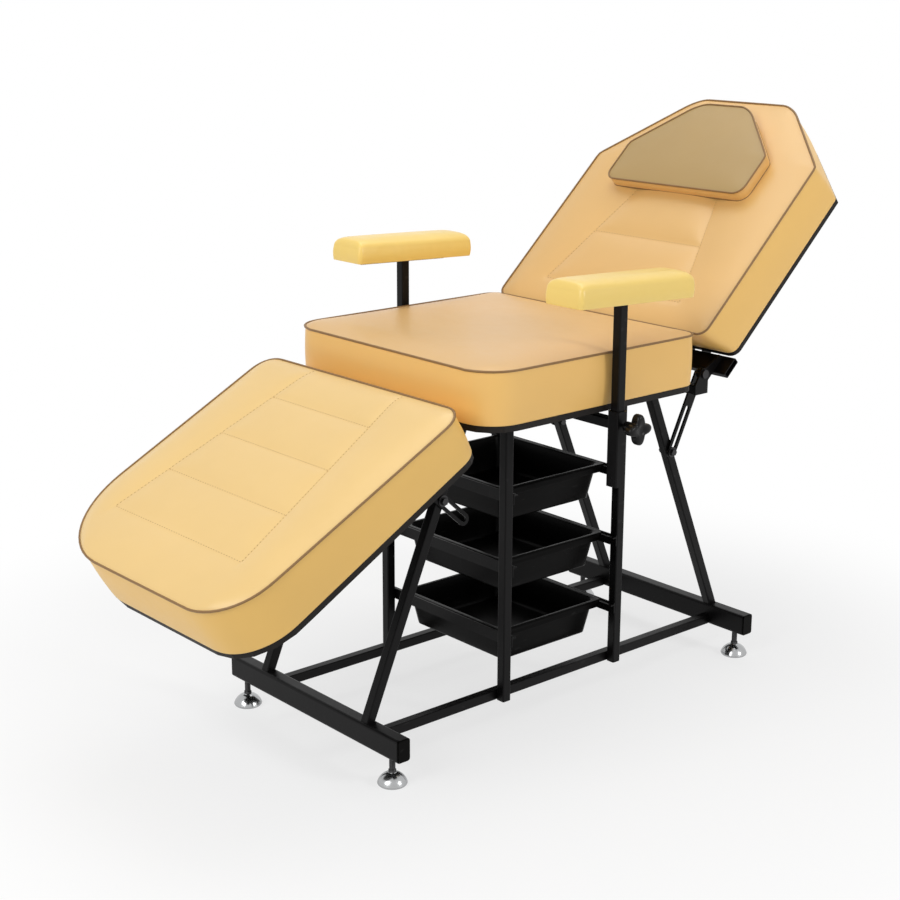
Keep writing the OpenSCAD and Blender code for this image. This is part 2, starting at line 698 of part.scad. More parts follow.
function pillow_w(y) = taper(y, pillow_taper_y, pillow_top_y, pillow_half_w, pillow_top_half_w)
    - corner_in(y - pillow_low_y, pillow_r) - corner_in(pillow_top_y - y, pillow_r);
pillow_rows = concat([for (s = corner_shares) pillow_low_y + s * pillow_r],
    [(pillow_low_y + pillow_r + pillow_taper_y) / 2, pillow_taper_y],
    [for (s = [0.35, 0.65]) pillow_taper_y + s * (pillow_top_y - pillow_taper_y)],
    [for (s = [4:-1:0]) pillow_top_y - corner_shares[s] * pillow_r]);
function pillow_point(y, u) = let (w = pillow_w(y), x = u * w,
    d = min(w - abs(x), y - pillow_low_y, pillow_top_y - y))
    [x, y, back_face + back_crown + pillow_t + pillow_crown * rise(d, edge_roll)];

module headrest_pillow() {
    on_back() sewn_block([for (y = pillow_rows) [for (u = plain_shares) pillow_point(y, u)]],
        back_face + back_crown, pillow_half_w, (pillow_low_y + pillow_top_y) / 2,
        (pillow_top_y - pillow_low_y) / 2, [0.74, 0.65, 0.43]);
}

module back_tube() {
    color([0.11, 0.1, 0.11]) on_back() difference() {
        tube_y(rail_x, member_start + member_h, tube_back_end, -back_tube_low);
        rod_x(rail_x - tube, rail_x + tube, back_stay_y, -stay_pivot_low, bolt_d / 2 + run_gap);
    }
}

// The flat tube across the lower end of the back, above the fixed ears
module back_bottom_bar() {
    half = pad_half_w - 2 * board_in;
    color([0.11, 0.1, 0.11]) on_back()
        tube_along_x(half, member_h, member_t, member_start + member_h / 2,
            -back_board_low - member_t / 2, tube_round);
}

module back_hinge_plates() {
    x0 = ear_x - ear_gap - ear_t;
    color([0.12, 0.11, 0.12]) on_back() both_sides() difference() {
        union() {
            plate_x(x0, ear_t, [[0, -back_board_low], [plate_foot, -back_board_low],
                [plate_foot, back_board_t - back_board_low], [ear_r, 0], [-ear_r, 0]]);
            rod_x(x0, x0 + ear_t, 0, 0, ear_r);
        }
        rod_x(x0 - bite, x0 + ear_t + bite, 0, 0, pin_d / 2 + run_gap);
    }
}

// A pivot bolt through a carrying tube and a stay
module stay_pivot(y, z) {
    x0 = rail_x - tube_half;
    x1 = stay_x + stay_t + slide_gap;
    rod_x(x0, x1, y, z, bolt_d / 2);
    rod_x(x1, x1 + pin_head_t, y, z, head_r);
    hex_x(x0 - nut_t, nut_t, y, z, nut_r);
}

module back_stay_pivots() {
    color([0.62, 0.62, 0.64]) on_back() both_sides() stay_pivot(back_stay_y, -stay_pivot_low);
}

// A flat bar with a round eye and a long slot, drawn along +Y from its eye
module stay(near, far) {
    r = stay_w / 2;
    color([0.13, 0.12, 0.13]) difference() {
        union() {
            block([stay_x, 0, -r], [stay_t, far, stay_w]);
            rod_x(stay_x, stay_x + stay_t, 0, 0, r);
            rod_x(stay_x, stay_x + stay_t, far, 0, r);
        }
        rod_x(stay_x - bite, stay_x + stay_t + bite, 0, 0, bolt_d / 2 + run_gap);
        block([stay_x - bite, near, -slot_w / 2], [stay_t + 2 * bite, far - near, slot_w]);
        rod_x(stay_x - bite, stay_x + stay_t + bite, near, 0, slot_w / 2);
        rod_x(stay_x - bite, stay_x + stay_t + bite, far, 0, slot_w / 2);
    }
}

module back_stay() {
    home() translate([0, back_qy, back_qz]) rotate([back_stay_turn, 0, 0])
        stay(back_reach - back_stay_travel - board_in, back_reach);
}

module legrest_stay() {
    home() translate([0, leg_qy, leg_qz]) rotate([leg_stay_turn, 0, 0])
        stay(leg_reach - leg_stay_in, leg_reach + leg_stay_out);
}

// Width of the legrest from its middle to a side whose foot end corner has radius r, at a place along it,
// with y negative toward the foot end
function leg_w(y, in, r) = pad_half_w - in - corner_in(y + leg_far_y - in, r)
    - corner_in(-y - leg_near_y - in, leg_near_r);
leg_seam_slant = (leg_seam_far_x - leg_seam_near_x) / (leg_seam_first + 3 * leg_seam_step - leg_seam_near_y);
function leg_seam_x(y) = leg_seam_near_x + leg_seam_slant * min(max(-y - leg_seam_near_y, 0),
    leg_seam_first + 3 * leg_seam_step - leg_seam_near_y);
wide_shares = [0, 0.04, 0.15, 0.32, 0.52];
leg_rows = concat([for (s = wide_shares) s * leg_wide_r - leg_far_y],
    [for (s = [-1, 0, 1]) s * seam_half - leg_seam_first - 3 * leg_seam_step],
    [-leg_seam_first - 2.5 * leg_seam_step],
    [for (k = [2:-1:0]) for (s = [-1, 0, 1]) s * seam_half - leg_seam_first - k * leg_seam_step],
    [-leg_seam_first + leg_seam_step / 4],
    [for (s = [4:-1:0]) -leg_near_y - corner_shares[s] * leg_near_r]);
// Height of the legrest's sewn edge, which falls toward the hinge
function leg_top(y) = leg_face - (leg_foam_t - leg_foam_near_t) * (y + leg_far_y) / (leg_far_y - leg_near_y);
function leg_point(y, x) = let (
    d = min(leg_w(y, 0, leg_far_r) - x, leg_w(y, 0, leg_wide_r) + x, y + leg_far_y, -y - leg_near_y),
    sx = leg_seam_x(y),
    last = leg_seam_first + 3 * leg_seam_step,
    along = -y > last + seam_half ? 0 : channel(abs(x) - sx),
    cross = abs(x) > sx ? 0 : max([for (k = [0:3]) channel(y + leg_seam_first + k * leg_seam_step)]))
    [x, y, leg_top(y) + leg_crown * rise(d, edge_roll) - max(along, cross) * rise(d, edge_roll)];

module legrest_board() {
    rows = concat([for (s = wide_shares) s * leg_wide_r - leg_far_y + board_in],
        [for (s = [0.76, 1]) s * leg_wide_r - leg_far_y + board_in]);
    tops = [for (s = [4:-1:0]) -leg_near_y - board_in - corner_shares[s] * leg_near_r];
    all = concat(rows, tops);
    color([0.09, 0.08, 0.08]) on_legrest() translate([0, 0, leg_board_up]) linear_extrude(leg_board_t)
        polygon(outline(all, [for (y = all) leg_w(y, board_in, leg_far_r)],
            [for (y = all) leg_w(y, board_in, leg_wide_r)]));
}

module legrest_cushion() {
    on_legrest() sewn_block([for (y = leg_rows)
        [for (x = across(leg_w(y, 0, leg_far_r), leg_w(y, 0, leg_wide_r), leg_seam_x(y))) leg_point(y, x)]],
        leg_board_up + leg_board_t, pad_half_w, -(leg_near_y + leg_far_y) / 2,
        (leg_far_y - leg_near_y) / 2, [0.94, 0.8, 0.57]);
}

module legrest_tube() {
    color([0.11, 0.1, 0.11]) on_legrest() difference() {
        tube_y(rail_x, -tube_leg_end, -tube_leg_start, leg_tube_up);
        rod_x(rail_x - tube, rail_x + tube, -leg_stay_y, leg_pivot_up, bolt_d / 2 + run_gap);
    }
}

module legrest_hinge_plates() {
    color([0.12, 0.11, 0.12]) on_legrest() both_sides() difference() {
        union() {
            plate_x(stay_x - stay_gap, stay_gap + ear_t, [[-tube_leg_start, leg_board_up],
                [-leg_ear_end, leg_board_up], [-leg_ear_end, -leg_ear_low], [-tube_leg_start, -leg_ear_low]]);
            plate_x(stay_x, ear_t, [[-tube_leg_start, leg_board_up], [-leg_ear_rise, leg_board_up],
                [-leg_ear_rise, leg_ear_r], [0, leg_ear_r], [0, -leg_ear_low], [-tube_leg_start, -leg_ear_low]]);
            rod_x(stay_x, stay_x + ear_t, 0, 0, leg_ear_r);
        }
        rod_x(stay_x - bite, stay_x + ear_t + bite, 0, 0, pin_d / 2 + run_gap);
    }
}

module legrest_stay_pivots() {
    color([0.62, 0.62, 0.64]) on_legrest() both_sides() stay_pivot(-leg_stay_y, leg_pivot_up);
}

// The place of the armrest's bar and pad on its post
module on_arm() {
    translate([arm_x, 0, arm_post_high_z]) rotate([-arm_tilt, 0, 0]) children();
}

module armrest_post() {
    color([0.12, 0.11, 0.12]) home() {
        translate([arm_x, 0, arm_post_low_z])
            tube_up(tube, tube, arm_post_high_z + arm_sink - arm_post_low_z, tube_round, tube_wall);
        on_arm() block([-tube_half, -arm_bar_front_y, 0],
            [tube, arm_bar_front_y + arm_bar_rear_y, arm_bar_t]);
    }
}

// The armrest pad is a half-round bolster with rolled ends
function roll_up(d, roll) = let (t = 1 - min(max(d, 0) / roll, 1)) sqrt(1 - t * t);
function arm_w(y) = arm_pad_w / 2 - corner_in(y + arm_pad_l / 2, arm_corner_r)
    - corner_in(arm_pad_l / 2 - y, arm_corner_r);
arm_shares = [-1, -0.975, -0.9, -0.78, -0.6, -0.38, -0.13, 0.13, 0.38, 0.6, 0.78, 0.9, 0.975, 1];
arm_rows = concat([for (s = corner_shares) s * arm_corner_r - arm_pad_l / 2], [-arm_pad_l / 6, arm_pad_l / 6],
    [for (s = [4:-1:0]) arm_pad_l / 2 - corner_shares[s] * arm_corner_r]);
function arm_point(y, u) = let (w = arm_w(y), x = u * w)
    [x, y, arm_bar_t + arm_pad_t + arm_crown * roll_up(w - abs(x), w)
        * roll_up(min(y + arm_pad_l / 2, arm_pad_l / 2 - y), arm_end_roll)];

module armrest_pad() {
    home() on_arm() sewn_block(
        [for (y = arm_rows) [for (u = arm_shares) arm_point(y, u)]],
        arm_bar_t, arm_pad_w / 2, 0, arm_pad_l / 2, [0.94, 0.8, 0.42]);
}

module armrest_knob() {
    x0 = arm_x + tube_half + 2 * slide_gap;
    color([0.08, 0.08, 0.08]) home() {
        rod_x(x0, knob_x, 0, knob_z, bolt_d / 2);
        rod_x(knob_x, knob_x + boss_l, 0, knob_z, boss_r);
        rod_x(knob_x + boss_l, knob_x + boss_l + knob_t, 0, knob_z, knob_d / 2 - lobe_r);
        for (k = [0:3]) rod_x(knob_x + boss_l, knob_x + boss_l + knob_t,
            (knob_d / 2 - lobe_r) * cos(90 * k), knob_z + (knob_d / 2 - lobe_r) * sin(90 * k),
            lobe_r, coarse);
    }
}

base_bar(-1);  // front_base_bar
base_bar(1);  // rear_base_bar
base_bar_end_caps();
foot(1, -1);  // near_front_foot
foot(-1, -1);  // far_front_foot
foot(1, 1);  // near_rear_foot
foot(-1, 1);  // far_rear_foot
side_rail();  // near_side_rail
far_side() side_rail();  // far_side_rail
leg(-1, leg_clamp_z);  // near_front_leg
far_side() leg(-1, leg_clamp_z);  // far_front_leg
leg(1, back_clamp_z);  // near_rear_leg
far_side() leg(1, back_clamp_z);  // far_rear_leg
rack_post(-1);  // near_front_rack_post
far_side() rack_post(-1);  // far_front_rack_post
rack_post(1);  // near_rear_rack_post
far_side() rack_post(1);  // far_rear_rack_post
tray(tray_low_z);  // lower_tray
tray(tray_low_z + tray_step);  // middle_tray
tray(tray_low_z + 2 * tray_step);  // upper_tray
tray_runners(tray_low_z);  // lower_tray_runners
tray_runners(tray_low_z + tray_step);  // middle_tray_runners
tray_runners(tray_low_z + 2 * tray_step);  // upper_tray_runners
seat_rail();  // near_seat_rail
far_side() seat_rail();  // far_seat_rail
front_cross_tube();
rear_cross_tube();
both_sides() back_hinge_ear();  // back_hinge_ears
back_hinge_pins();
armrest_side_tubes();
armrest_sleeve();  // near_armrest_sleeve
far_side() armrest_sleeve();  // far_armrest_sleeve
seat_board();
seat_cushion();
stay_clamp_bolts();
legrest_hinge_pins();
back_board();
back_cushion();
headrest_pillow();
back_tube();  // near_back_tube
far_side() back_tube();  // far_back_tube
back_bottom_bar();
back_hinge_plates();
back_stay_pivots();
back_stay();  // near_back_stay
far_side() back_stay();  // far_back_stay
legrest_stay();  // near_legrest_stay
far_side() legrest_stay();  // far_legrest_stay
legrest_board();
legrest_cushion();
legrest_tube();  // near_legrest_tube
far_side() legrest_tube();  // far_legrest_tube
legrest_hinge_plates();
legrest_stay_pivots();
armrest_post();  // near_armrest_post
far_side() armrest_post();  // far_armrest_post
armrest_pad();  // near_armrest_pad
far_side() armrest_pad();  // far_armrest_pad
armrest_knob();  // near_armrest_knob
far_side() armrest_knob();  // far_armrest_knob
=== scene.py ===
"""A reclining salon chair: padded seat, raised back with a pillow, lowered legrest, two armrests,
a black tube frame and three trays. Metres; Z up, head end +Y, near side +X, middle of the floor at 0."""
import bpy
import math
import numpy as np
from mathutils import Matrix, Vector


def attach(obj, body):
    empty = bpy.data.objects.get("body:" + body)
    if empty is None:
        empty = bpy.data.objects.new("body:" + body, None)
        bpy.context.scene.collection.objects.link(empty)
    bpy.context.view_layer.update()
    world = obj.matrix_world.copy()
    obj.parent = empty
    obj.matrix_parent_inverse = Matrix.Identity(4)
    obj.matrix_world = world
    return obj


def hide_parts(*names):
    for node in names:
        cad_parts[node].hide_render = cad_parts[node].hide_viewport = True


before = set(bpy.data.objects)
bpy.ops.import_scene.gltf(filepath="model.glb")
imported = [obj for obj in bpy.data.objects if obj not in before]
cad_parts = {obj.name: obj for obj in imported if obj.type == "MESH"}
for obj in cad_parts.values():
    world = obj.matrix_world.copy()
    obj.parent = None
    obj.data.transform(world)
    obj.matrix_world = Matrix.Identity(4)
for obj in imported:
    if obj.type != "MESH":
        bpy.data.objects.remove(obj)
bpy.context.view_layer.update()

# The solids' own sizes. Those of the back, pillow and legrest are local: along the section from its
# hinge, and out of its face.
HALF_W = 0.300
SEAT_TOP, SEAT_LOW = 0.760, 0.659
SEAT_FRONT, SEAT_REAR = -0.310, 0.250
BACK_FACE, BACK_LOW = 0.0917, -0.0140
BACK_START, BACK_END, BACK_LEAN = 0.0325, 0.638, 0.034
LEG_FACE, LEG_LOW = 0.1318, 0.0280
LEG_FOOT, LEG_KNEE, LEG_FALL = -0.647, -0.0655, 0.0192
PILLOW_START, PILLOW_WIDEST, PILLOW_END = 0.364, 0.470, 0.597
PILLOW_FACE, PILLOW_LOW = 0.1247, 0.0977
PAD_L, PAD_W, PAD_LOW, PAD_EDGE = 0.306, 0.094, 0.007, 0.038

# Angles at rest, the Y of the foot and head ends from the middle of the base, and the hinge lines. HOME
# carries the middle of the bounding box to 0.
BACK_TILT = math.radians(43.2)
LEG_TILT = math.radians(29.6)
ARM_TILT = math.radians(-2.3)
FOOT_END = -0.255 + LEG_FOOT * math.cos(LEG_TILT) - LEG_FACE * math.sin(LEG_TILT)
HEAD_END = 0.300 + 0.636 * math.cos(BACK_TILT) + 0.0250 * math.sin(BACK_TILT)
HOME = -(FOOT_END + HEAD_END) / 2
BACK_HINGE = np.array([0, 0.300 + HOME, 0.668])
LEG_HINGE = np.array([0, -0.255 + HOME, 0.637])
ARM_TOP = np.array([0.320, HOME, 0.855])

# Where the seams across run, along the legrest and the back, and how the sewn tops are shaped.
LEG_SEAMS = (-0.529, -0.409, -0.289, -0.169)
BACK_SEAMS = (0.096, 0.239)
ROLL = 0.042            # how far in from its edge a cushion still rises
SEAM_DEPTH = 0.0035
SEAM_HALF = 0.0045      # half width of the dent that a seam pulls in
ROW_SPACE = 0.0095
INNER, OUTER = 17, 13   # columns between the two long seams, and outside each of them


# ---------- places ----------

def tilt(points, angle, hinge):
    """Turns points about X by angle and carries them to the hinge line."""
    c, s = math.cos(angle), math.sin(angle)
    p = np.asarray(points, float)
    out = np.empty_like(p)
    out[..., 0] = p[..., 0]
    out[..., 1] = p[..., 1] * c - p[..., 2] * s
    out[..., 2] = p[..., 1] * s + p[..., 2] * c
    return out + hinge


def on_back(points):
    """Local back points (X, up the back from the hinge, out of its face) at rest."""
    return tilt(points, BACK_TILT, BACK_HINGE)


def on_legrest(points):
    """Local legrest points (X, minus toward the foot end, up from the hinge) at rest."""
    return tilt(points, LEG_TILT, LEG_HINGE)


def at_home(points):
    """Points measured from the middle of the base, carried to the middle of the bounding box."""
    return np.asarray(points, float) + np.array([0, HOME, 0])


# ---------- meshes ----------

def make_piece(name, points, faces, material, body, slot=None, smooth=True):
    """Puts arrays of points and faces into one mesh object that rides on a body."""
    mesh = bpy.data.meshes.new(name)
    mesh.from_pydata(np.asarray(points, float).tolist(), [], [list(map(int, f)) for f in faces])
    mesh.validate()
    obj = bpy.data.objects.new(name, mesh)
    bpy.context.collection.objects.link(obj)
    if smooth:
        mesh.polygons.foreach_set("use_smooth", np.ones(len(mesh.polygons), bool))
    mesh.materials.append(material)
    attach(obj, body)
    return obj


def grid_faces(rows, cols, wrap=False, flip=False):
    """Quads of a rows by cols grid of points; wrap joins the last column to the first."""
    j, i = np.meshgrid(np.arange(rows - 1), np.arange(cols if wrap else cols - 1), indexing="ij")
    k = (i + 1) % cols
    quads = np.stack([j * cols + i, j * cols + k, (j + 1) * cols + k, (j + 1) * cols + i], -1).reshape(-1, 4)
    return quads[:, ::-1] if flip else quads


def join(parts):
    """Joins (points, faces) pairs into one pair."""
    points, faces, n = [], [], 0
    for p, f in parts:
        p = np.asarray(p, float).reshape(-1, 3)
        points.append(p)
        faces += [tuple(int(v) + n for v in face) for face in f]
        n += len(p)
    return np.concatenate(points), faces


def loft(sections):
    """Closed rings of equal count, one above the other, skinned with quads and closed by end faces."""
    s = np.asarray(sections, float)
    rows, cols = s.shape[:2]
    faces = [tuple(q) for q in grid_faces(rows, cols, wrap=True)]
    faces.append(tuple(range(cols))[::-1])
    faces.append(tuple(range((rows - 1) * cols, rows * cols)))
    return s.reshape(-1, 3), faces


def rounded_ring(half_x, half_y, radius, z):
    """A level rounded rectangle, counter-clockwise from above: four arcs of nine points, joined by lines."""
    a = np.radians(np.linspace(0, 90, 9))
    ring = []
    for k, (sx, sy) in enumerate(((1, 1), (-1, 1), (-1, -1), (1, -1))):
        turn = a + k * math.pi / 2
        ring.append(np.stack([sx * (half_x - radius) + radius * np.cos(turn),
                              sy * (half_y - radius) + radius * np.sin(turn), np.full(len(a), z)], -1))
    return np.concatenate(ring)


def turned(profile, steps, twist):
    """A profile of (radius, height) pairs turned round Z, its radius changed by twist(height, angle)."""
    r, z = np.asarray(profile, float).T
    a = np.linspace(0, 2 * math.pi, steps, endpoint=False)
    radius = r[:, None] + twist(z[:, None], a[None, :])
    ring = np.stack([radius * np.cos(a), radius * np.sin(a), z[:, None] + 0 * a], -1)
    return loft(ring)


def tube_along(path, up, radius, sides=10):
    """A round cord along a closed path: each ring spans the side direction (tangent x up) and up."""
    p = np.asarray(path, float)
    t = np.roll(p, -1, 0) - np.roll(p, 1, 0)
    t /= np.linalg.norm(t, axis=1, keepdims=True)
    up = np.broadcast_to(np.asarray(up, float), p.shape)
    side = np.cross(t, up)
    side /= np.linalg.norm(side, axis=1, keepdims=True)
    over = np.cross(side, t)
    a = np.linspace(0, 2 * math.pi, sides, endpoint=False)
    rings = p[:, None, :] + radius * (np.cos(a)[None, :, None] * side[:, None, :]
                                      + np.sin(a)[None, :, None] * over[:, None, :])
    flat = rings.reshape(-1, 3)
    quads = grid_faces(len(rings) + 1, sides, wrap=True, flip=True) % len(flat)
    return flat, [tuple(q) for q in quads]


STITCH, STITCH_GAP, STITCH_RADIUS = 0.0052, 0.0026, 0.00055


def stitches(path, up):
    """Thread stitches along a path: short capsules, each a six-sided spindle sunk at both ends."""
    p = np.asarray(path, float)
    step = np.linalg.norm(np.diff(p, axis=0), axis=1)
    along = np.concatenate([[0], np.cumsum(step)])
    count = max(int(along[-1] / (STITCH + STITCH_GAP)), 1)
    mid = (np.arange(count) + 0.5) * along[-1] / count
    at = lambda s: np.stack([np.interp(s, along, p[:, k]) for k in range(3)], -1)
    c = at(mid)
    t = at(mid + 0.001) - at(mid - 0.001)
    t /= np.linalg.norm(t, axis=1, keepdims=True)
    up = np.broadcast_to(np.asarray(up, float), c.shape)
    side = np.cross(t, up)
    u = np.linspace(-1, 1, 5)
    a = np.linspace(0, 2 * math.pi, 6, endpoint=False)
    fat = STITCH_RADIUS * np.sqrt(np.maximum(1 - u ** 4, 0.04))
    lift = -0.0009 * u ** 2
    ring = (c[:, None, None, :] + (u * STITCH / 2)[None, :, None, None] * t[:, None, None, :]
            + (fat[:, None] * np.cos(a))[None, :, :, None] * side[:, None, None, :]
            + (fat[:, None] * np.sin(a) + lift[:, None])[None, :, :, None] * up[:, None, None, :])
    base = grid_faces(5, 6, wrap=True, flip=True)
    caps = [tuple(range(6)), tuple(range(24, 30))[::-1]]
    faces = []
    for k in range(count):
        faces += [tuple(q) for q in base + 30 * k] + [tuple(v + 30 * k for v in cap) for cap in caps]
    return ring.reshape(-1, 3), faces


# ---------- soft pieces ----------

def corner_in(d, r):
    """How far a rounded corner draws the side in, at distance d from the end."""
    d = np.asarray(d, float)
    return np.where(d >= r, 0, r - np.sqrt(np.maximum(r * r - (r - np.clip(d, 0, r)) ** 2, 0)))


def rise(d, roll):
    """Share of the full crown at distance d from the sewn edge: 1 - (1 - d/roll)^2, then flat."""
    return 1 - (1 - np.clip(d / roll, 0, 1)) ** 2


def corner_rows(start, end, r0, r1, space, marks=()):
    """Rows from start to end: close together round both corners, evenly spaced between them, and one
    row on each mark."""
    arc = lambda r: r * (1 - np.cos(np.radians(np.linspace(0, 90, max(8, int(r / 0.011))))))
    first, last = start + arc(r0), end - arc(r1)[::-1]
    stops = [first[-1], *sorted(m for m in marks if first[-1] + 0.004 < m < last[0] - 0.004), last[0]]
    middle = [np.linspace(p, q, max(int(round((q - p) / space)), 1) + 1)[1:-1]
              for p, q in zip(stops, stops[1:])]
    rows = np.concatenate([first, *middle, stops[1:-1], last])
    rows = [q for q in rows if min([abs(q - m) for m in marks] or [1]) > 0.0035]
    return np.sort(np.concatenate([rows, marks]))


def edge_shares(count):
    """Places from 0 to 1, closer together near 1, where the sewn edge is."""
    t = np.linspace(0, 1, count + 1)
    return 0.55 * t + 0.45 * np.sin(t * math.pi / 2)


def columns(near, far, seam, half=0.006):
    """X places of each row: even between the two long seams, three on each seam, closer toward the edge."""
    s = np.asarray(seam)[:, None]
    mid = (s - half) * np.linspace(-1, 1, INNER)[None, :]
    out = [(s + half) + (np.asarray(w)[:, None] - s - half) * edge_shares(OUTER)[None, :]
           for w in (near, far)]
    return np.concatenate([-out[1][:, ::-1], -s, mid, s, out[0]], 1)


def perimeter(rows, cols):
    """Indices round a grid, counter-clockwise from its first point."""
    return np.concatenate([np.arange(cols), np.arange(1, rows) * cols + cols - 1,
                           (rows - 1) * cols + np.arange(cols - 2, -1, -1),
                           np.arange(rows - 2, 0, -1) * cols])


def sewn_block(x, y, z, low, lean, tuck, bulge=0.002, levels=9):
    """A boxed cushion: its points, faces and the indices of its sewn edge. The top is the grid (x, y, z);
    the side panel drops from the sewn edge in levels, moved out by bulge * sin(pi * depth) less the tuck,
    and along Y by lean * depth at the first row of the grid, none at the last. An inner ring keeps the
    lower edge crisp, and the underside is made of strips."""
    rows, cols = x.shape
    top = np.stack([x, y + 0 * x, z], -1).reshape(-1, 3)
    edge = perimeter(rows, cols)
    loop = top[edge]
    t = np.roll(loop, -1, 0)[:, :2] - np.roll(loop, 1, 0)[:, :2]
    out = np.stack([t[:, 1], -t[:, 0]], -1)
    out /= np.linalg.norm(out, axis=1, keepdims=True)
    depth = np.concatenate([[0.03, 0.08], np.linspace(0.2, 0.9, levels - 4), [0.975, 1.0, 1.0]])
    inset = np.append(np.zeros(len(depth) - 1), 0.004)
    rings = []
    for d, inward in zip(depth, inset):
        shift = bulge * math.sin(math.pi * d) - tuck - inward
        ring = loop.copy()
        ring[:, :2] += out * shift
        ring[:, 1] += lean * d * (y.max() - loop[:, 1]) / np.ptp(y)
        ring[:, 2] += (low - loop[:, 2]) * d
        rings.append(ring)
    points = np.concatenate([top, *rings])
    n = len(edge)
    faces = [tuple(q) for q in grid_faces(rows, cols)]
    nxt = np.roll(np.arange(n), -1)
    above = edge
    for k in range(len(depth)):
        under = rows * cols + k * n + np.arange(n)
        faces += list(zip(above.tolist(), under.tolist(), under[nxt].tolist(), above[nxt].tolist()))
        above = under
    left = np.concatenate([above[:1], above[::-1][:rows - 1]])
    right = above[cols - 1:cols + rows - 1]
    faces.append(tuple(above[:cols].tolist())[::-1] + (int(left[1]), int(right[1])))
    faces += list(zip(left[1:-2].tolist(), left[2:-1].tolist(), right[2:-1].tolist(), right[1:-2].tolist()))
    faces.append((int(left[-2]), *above[cols + rows - 2:2 * cols + rows - 2][::-1].tolist(), int(right[-2])))
    return points, faces, edge


def swell(obj, pins, pressure, cap, frames=20):
    """Blender's cloth fills the piece like stuffed vinyl: the pinned sewn lines stay, the rest swells by
    at most cap. The result is written to the mesh and no cloth is left on it."""
    mesh = obj.data
    n = len(mesh.vertices)
    start = np.empty(n * 3)
    mesh.vertices.foreach_get("co", start)
    group = obj.vertex_groups.new(name="sewn")
    group.add([int(v) for v in pins], 1.0, "REPLACE")
    mod = obj.modifiers.new("stuffing", "CLOTH")
    cloth = mod.settings
    cloth.quality = 6
    cloth.mass = 0.35
    cloth.tension_stiffness = cloth.compression_stiffness = 18
    cloth.shear_stiffness = 8
    cloth.bending_stiffness = 2.5
    cloth.use_pressure = True
    cloth.uniform_pressure_force = pressure
    cloth.vertex_group_mass = "sewn"
    cloth.pin_stiffness = 1.0
    cloth.effector_weights.gravity = 0
    mod.collision_settings.use_collision = False
    mod.collision_settings.use_self_collision = False
    mod.point_cache.frame_start, mod.point_cache.frame_end = 1, frames
    scene = bpy.context.scene
    for f in range(1, frames + 1):
        scene.frame_set(f)
    done = obj.evaluated_get(bpy.context.evaluated_depsgraph_get())
    end = np.empty(n * 3)
    done.data.vertices.foreach_get("co", end)
    scene.frame_set(1)
    obj.modifiers.remove(mod)
    obj.vertex_groups.remove(group)
    move = (end - start).reshape(-1, 3)
    far = np.linalg.norm(move, axis=1, keepdims=True)
    move *= np.tanh(far / cap) * cap / np.maximum(far, 1e-9)
    mesh.vertices.foreach_set("co", (start.reshape(-1, 3) + move).ravel())
    mesh.update()


def smooth_once(obj):
    """One level of subdivision, kept live with equal view and render levels."""
    mod = obj.modifiers.new("smooth", "SUBSURF")
    mod.levels = mod.render_levels = 1


# ---------- shader groups ----------

def group(name, inputs, outputs):
    """An empty shader group with named float, colour or vector sockets."""
    g = bpy.data.node_groups.new(name, "ShaderNodeTree")
    for kind, items in (("INPUT", inputs), ("OUTPUT", outputs)):
        for label, what, value in items:
            s = g.interface.new_socket(name=label, in_out=kind, socket_type="NodeSocket" + what)
            if value is not None:
                s.default_value = value
    return g, g.nodes.new("NodeGroupInput"), g.nodes.new("NodeGroupOutput")


def link(tree, a, b):
    """Joins an output socket to an input."""
    tree.links.new(a, b)


def node(tree, kind, **values):
    """A shader node with its settings and unlinked inputs set by name."""
    n = tree.nodes.new("ShaderNode" + kind)
    for key, value in values.items():
        if key in n.inputs:
            n.inputs[key].default_value = value
        else:
            setattr(n, key, value)
    return n


def math_node(tree, how, a, b):
    """A math node on two values, each a number or another node's socket."""
    n = tree.nodes.new("ShaderNodeMath")
    n.operation = how
    for k, v in enumerate((a, b)):
        if isinstance(v, (int, float)):
            n.inputs[k].default_value = v
        else:
            tree.links.new(v, n.inputs[k])
    return n.outputs[0]


def ramp(tree, value, stops):
    """A colour ramp through (place, grey) stops."""
    n = tree.nodes.new("ShaderNodeValToRGB")
    while len(n.color_ramp.elements) < len(stops):
        n.color_ramp.elements.new(0.5)
    for e, (at, grey) in zip(n.color_ramp.elements, stops):
        e.position, e.color = at, (grey, grey, grey, 1)
    tree.links.new(value, n.inputs[0])
    return n.outputs[0]


